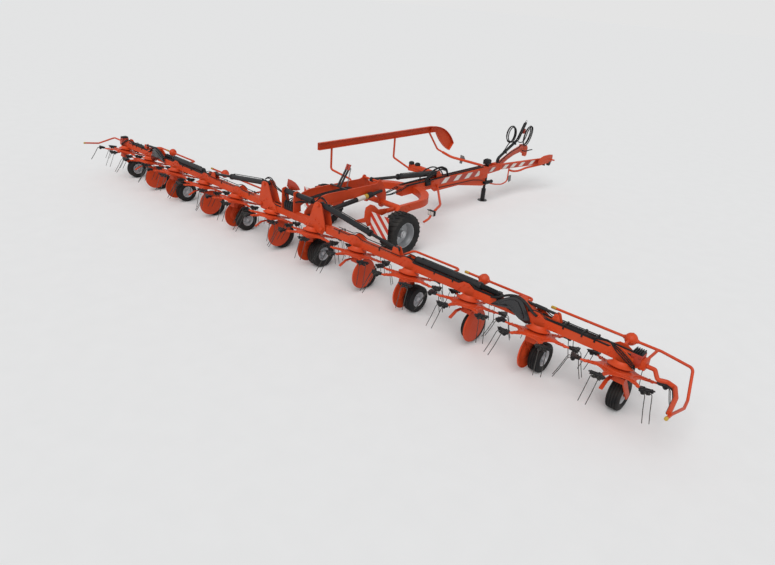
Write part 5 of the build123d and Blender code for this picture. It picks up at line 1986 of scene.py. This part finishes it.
@dataclass
class Studio:
    """Floor, light and the photograph's camera."""

    row_y: float
    eye: Point = (7.790, -6.527, 4.294)
    yaw: float = 41.201
    pitch: float = 25.023
    roll: float = 4.529
    focal: float = 622.443
    image_width: float = 775.0
    sensor: float = 36.0
    backdrop: float = 0.776
    pale: float = 0.865
    sky: float = 0.42
    sky_tint: Point = (0.98, 0.99, 1.0)
    sun: float = 1.97
    sun_spread: float = 50.0
    sun_way: Point = (-0.35, 0.75, -1.0)
    floor_size: float = 400.0
    view_end: float = 500.0

    def camera(self) -> None:
        """Sets the camera where the photograph was taken from."""
        yaw, pitch, roll = (math.radians(angle) for angle in (self.yaw, self.pitch, self.roll))
        ahead = Vector((-math.sin(yaw) * math.cos(pitch), math.cos(yaw) * math.cos(pitch), -math.sin(pitch)))
        right = Vector((math.cos(yaw), math.sin(yaw), 0))
        above = right.cross(ahead)
        across = right * math.cos(roll) + above * math.sin(roll)
        upward = -right * math.sin(roll) + above * math.cos(roll)
        lens = bpy.data.cameras.new("photo_camera")
        lens.sensor_fit = "HORIZONTAL"
        lens.sensor_width = self.sensor
        lens.lens = self.focal * self.sensor / self.image_width
        lens.clip_end = self.view_end
        camera = bpy.data.objects.new("photo_camera", lens)
        bpy.context.collection.objects.link(camera)
        turn = Matrix((across, upward, -ahead)).transposed().to_4x4()
        camera.matrix_world = Matrix.Translation(Vector(self.eye) + Vector((0, self.row_y, 0))) @ turn
        bpy.context.scene.camera = camera

    def floor(self) -> None:
        """Lays the plain pale floor."""
        rest()
        bpy.ops.mesh.primitive_plane_add(size=self.floor_size, location=(0, 0, 0))
        floor = bpy.context.object
        floor.name = "floor"
        book = NodeBook("pale_floor")
        grain = book.ramp(book.noise(3.0, 2.0), 0.3, 0.7)
        book.link(book.mix(grain, rgba((self.pale,) * 3), rgba((self.pale * 0.985,) * 3)),
                  book.shader.inputs["Base Color"])
        book.shader.inputs["Roughness"].default_value = 1.0
        book.shader.inputs["Specular IOR Level"].default_value = 0.0
        floor.data.materials.append(book.material)

    def world(self) -> None:
        """Sets the soft light from all round and the pale background."""
        world = bpy.data.worlds.new("studio")
        bpy.context.scene.world = world
        world.use_nodes = True
        tree = world.node_tree
        light = tree.nodes["Background"]
        light.inputs["Color"].default_value = rgba(self.sky_tint)
        light.inputs["Strength"].default_value = self.sky
        seen = tree.nodes.new("ShaderNodeBackground")
        seen.inputs["Color"].default_value = rgba((self.backdrop,) * 3)
        seen.inputs["Strength"].default_value = 1.0
        path = tree.nodes.new("ShaderNodeLightPath")
        either = path.outputs["Is Camera Ray"]
        for kind in ("Is Glossy Ray", "Is Transmission Ray"):
            node = tree.nodes.new("ShaderNodeMath")
            node.operation = "MAXIMUM"
            tree.links.new(either, node.inputs[0])
            tree.links.new(path.outputs[kind], node.inputs[1])
            either = node.outputs[0]
        mix = tree.nodes.new("ShaderNodeMixShader")
        tree.links.new(either, mix.inputs[0])
        tree.links.new(light.outputs[0], mix.inputs[1])
        tree.links.new(seen.outputs[0], mix.inputs[2])
        tree.links.new(mix.outputs[0], tree.nodes["World Output"].inputs[0])

    def lamps(self) -> None:
        """Hangs one broad, far lamp, so that the floor is lit alike all over."""
        lamp = bpy.data.lights.new("sky_panel", "SUN")
        lamp.energy = self.sun
        lamp.angle = math.radians(self.sun_spread)
        holder = bpy.data.objects.new("sky_panel", lamp)
        bpy.context.collection.objects.link(holder)
        aim = Vector(self.sun_way).to_track_quat("-Z", "Y")
        holder.matrix_world = aim.to_matrix().to_4x4()

    def build(self) -> None:
        """Builds the whole studio."""
        bpy.context.scene.view_settings.view_transform = "Standard"
        self.camera()
        self.floor()
        self.world()
        self.lamps()


def main() -> None:
    """Builds the studio and dresses the machine in order."""
    logging.basicConfig(level=logging.INFO, format="%(message)s")
    machine = Machine()
    Studio(machine.row_y).build()
    finishes = Finishes()
    SupplyHoses(machine, finishes).build()
    CarriedNodes(finishes).build()
    for kind in (Rotor, GaugeWheel, RoadWheel, Hinges, Beams, LiftCylinders, Guards, Centre, Chassis):
        kind(machine, finishes).build()


if __name__ == "__main__":
    main()
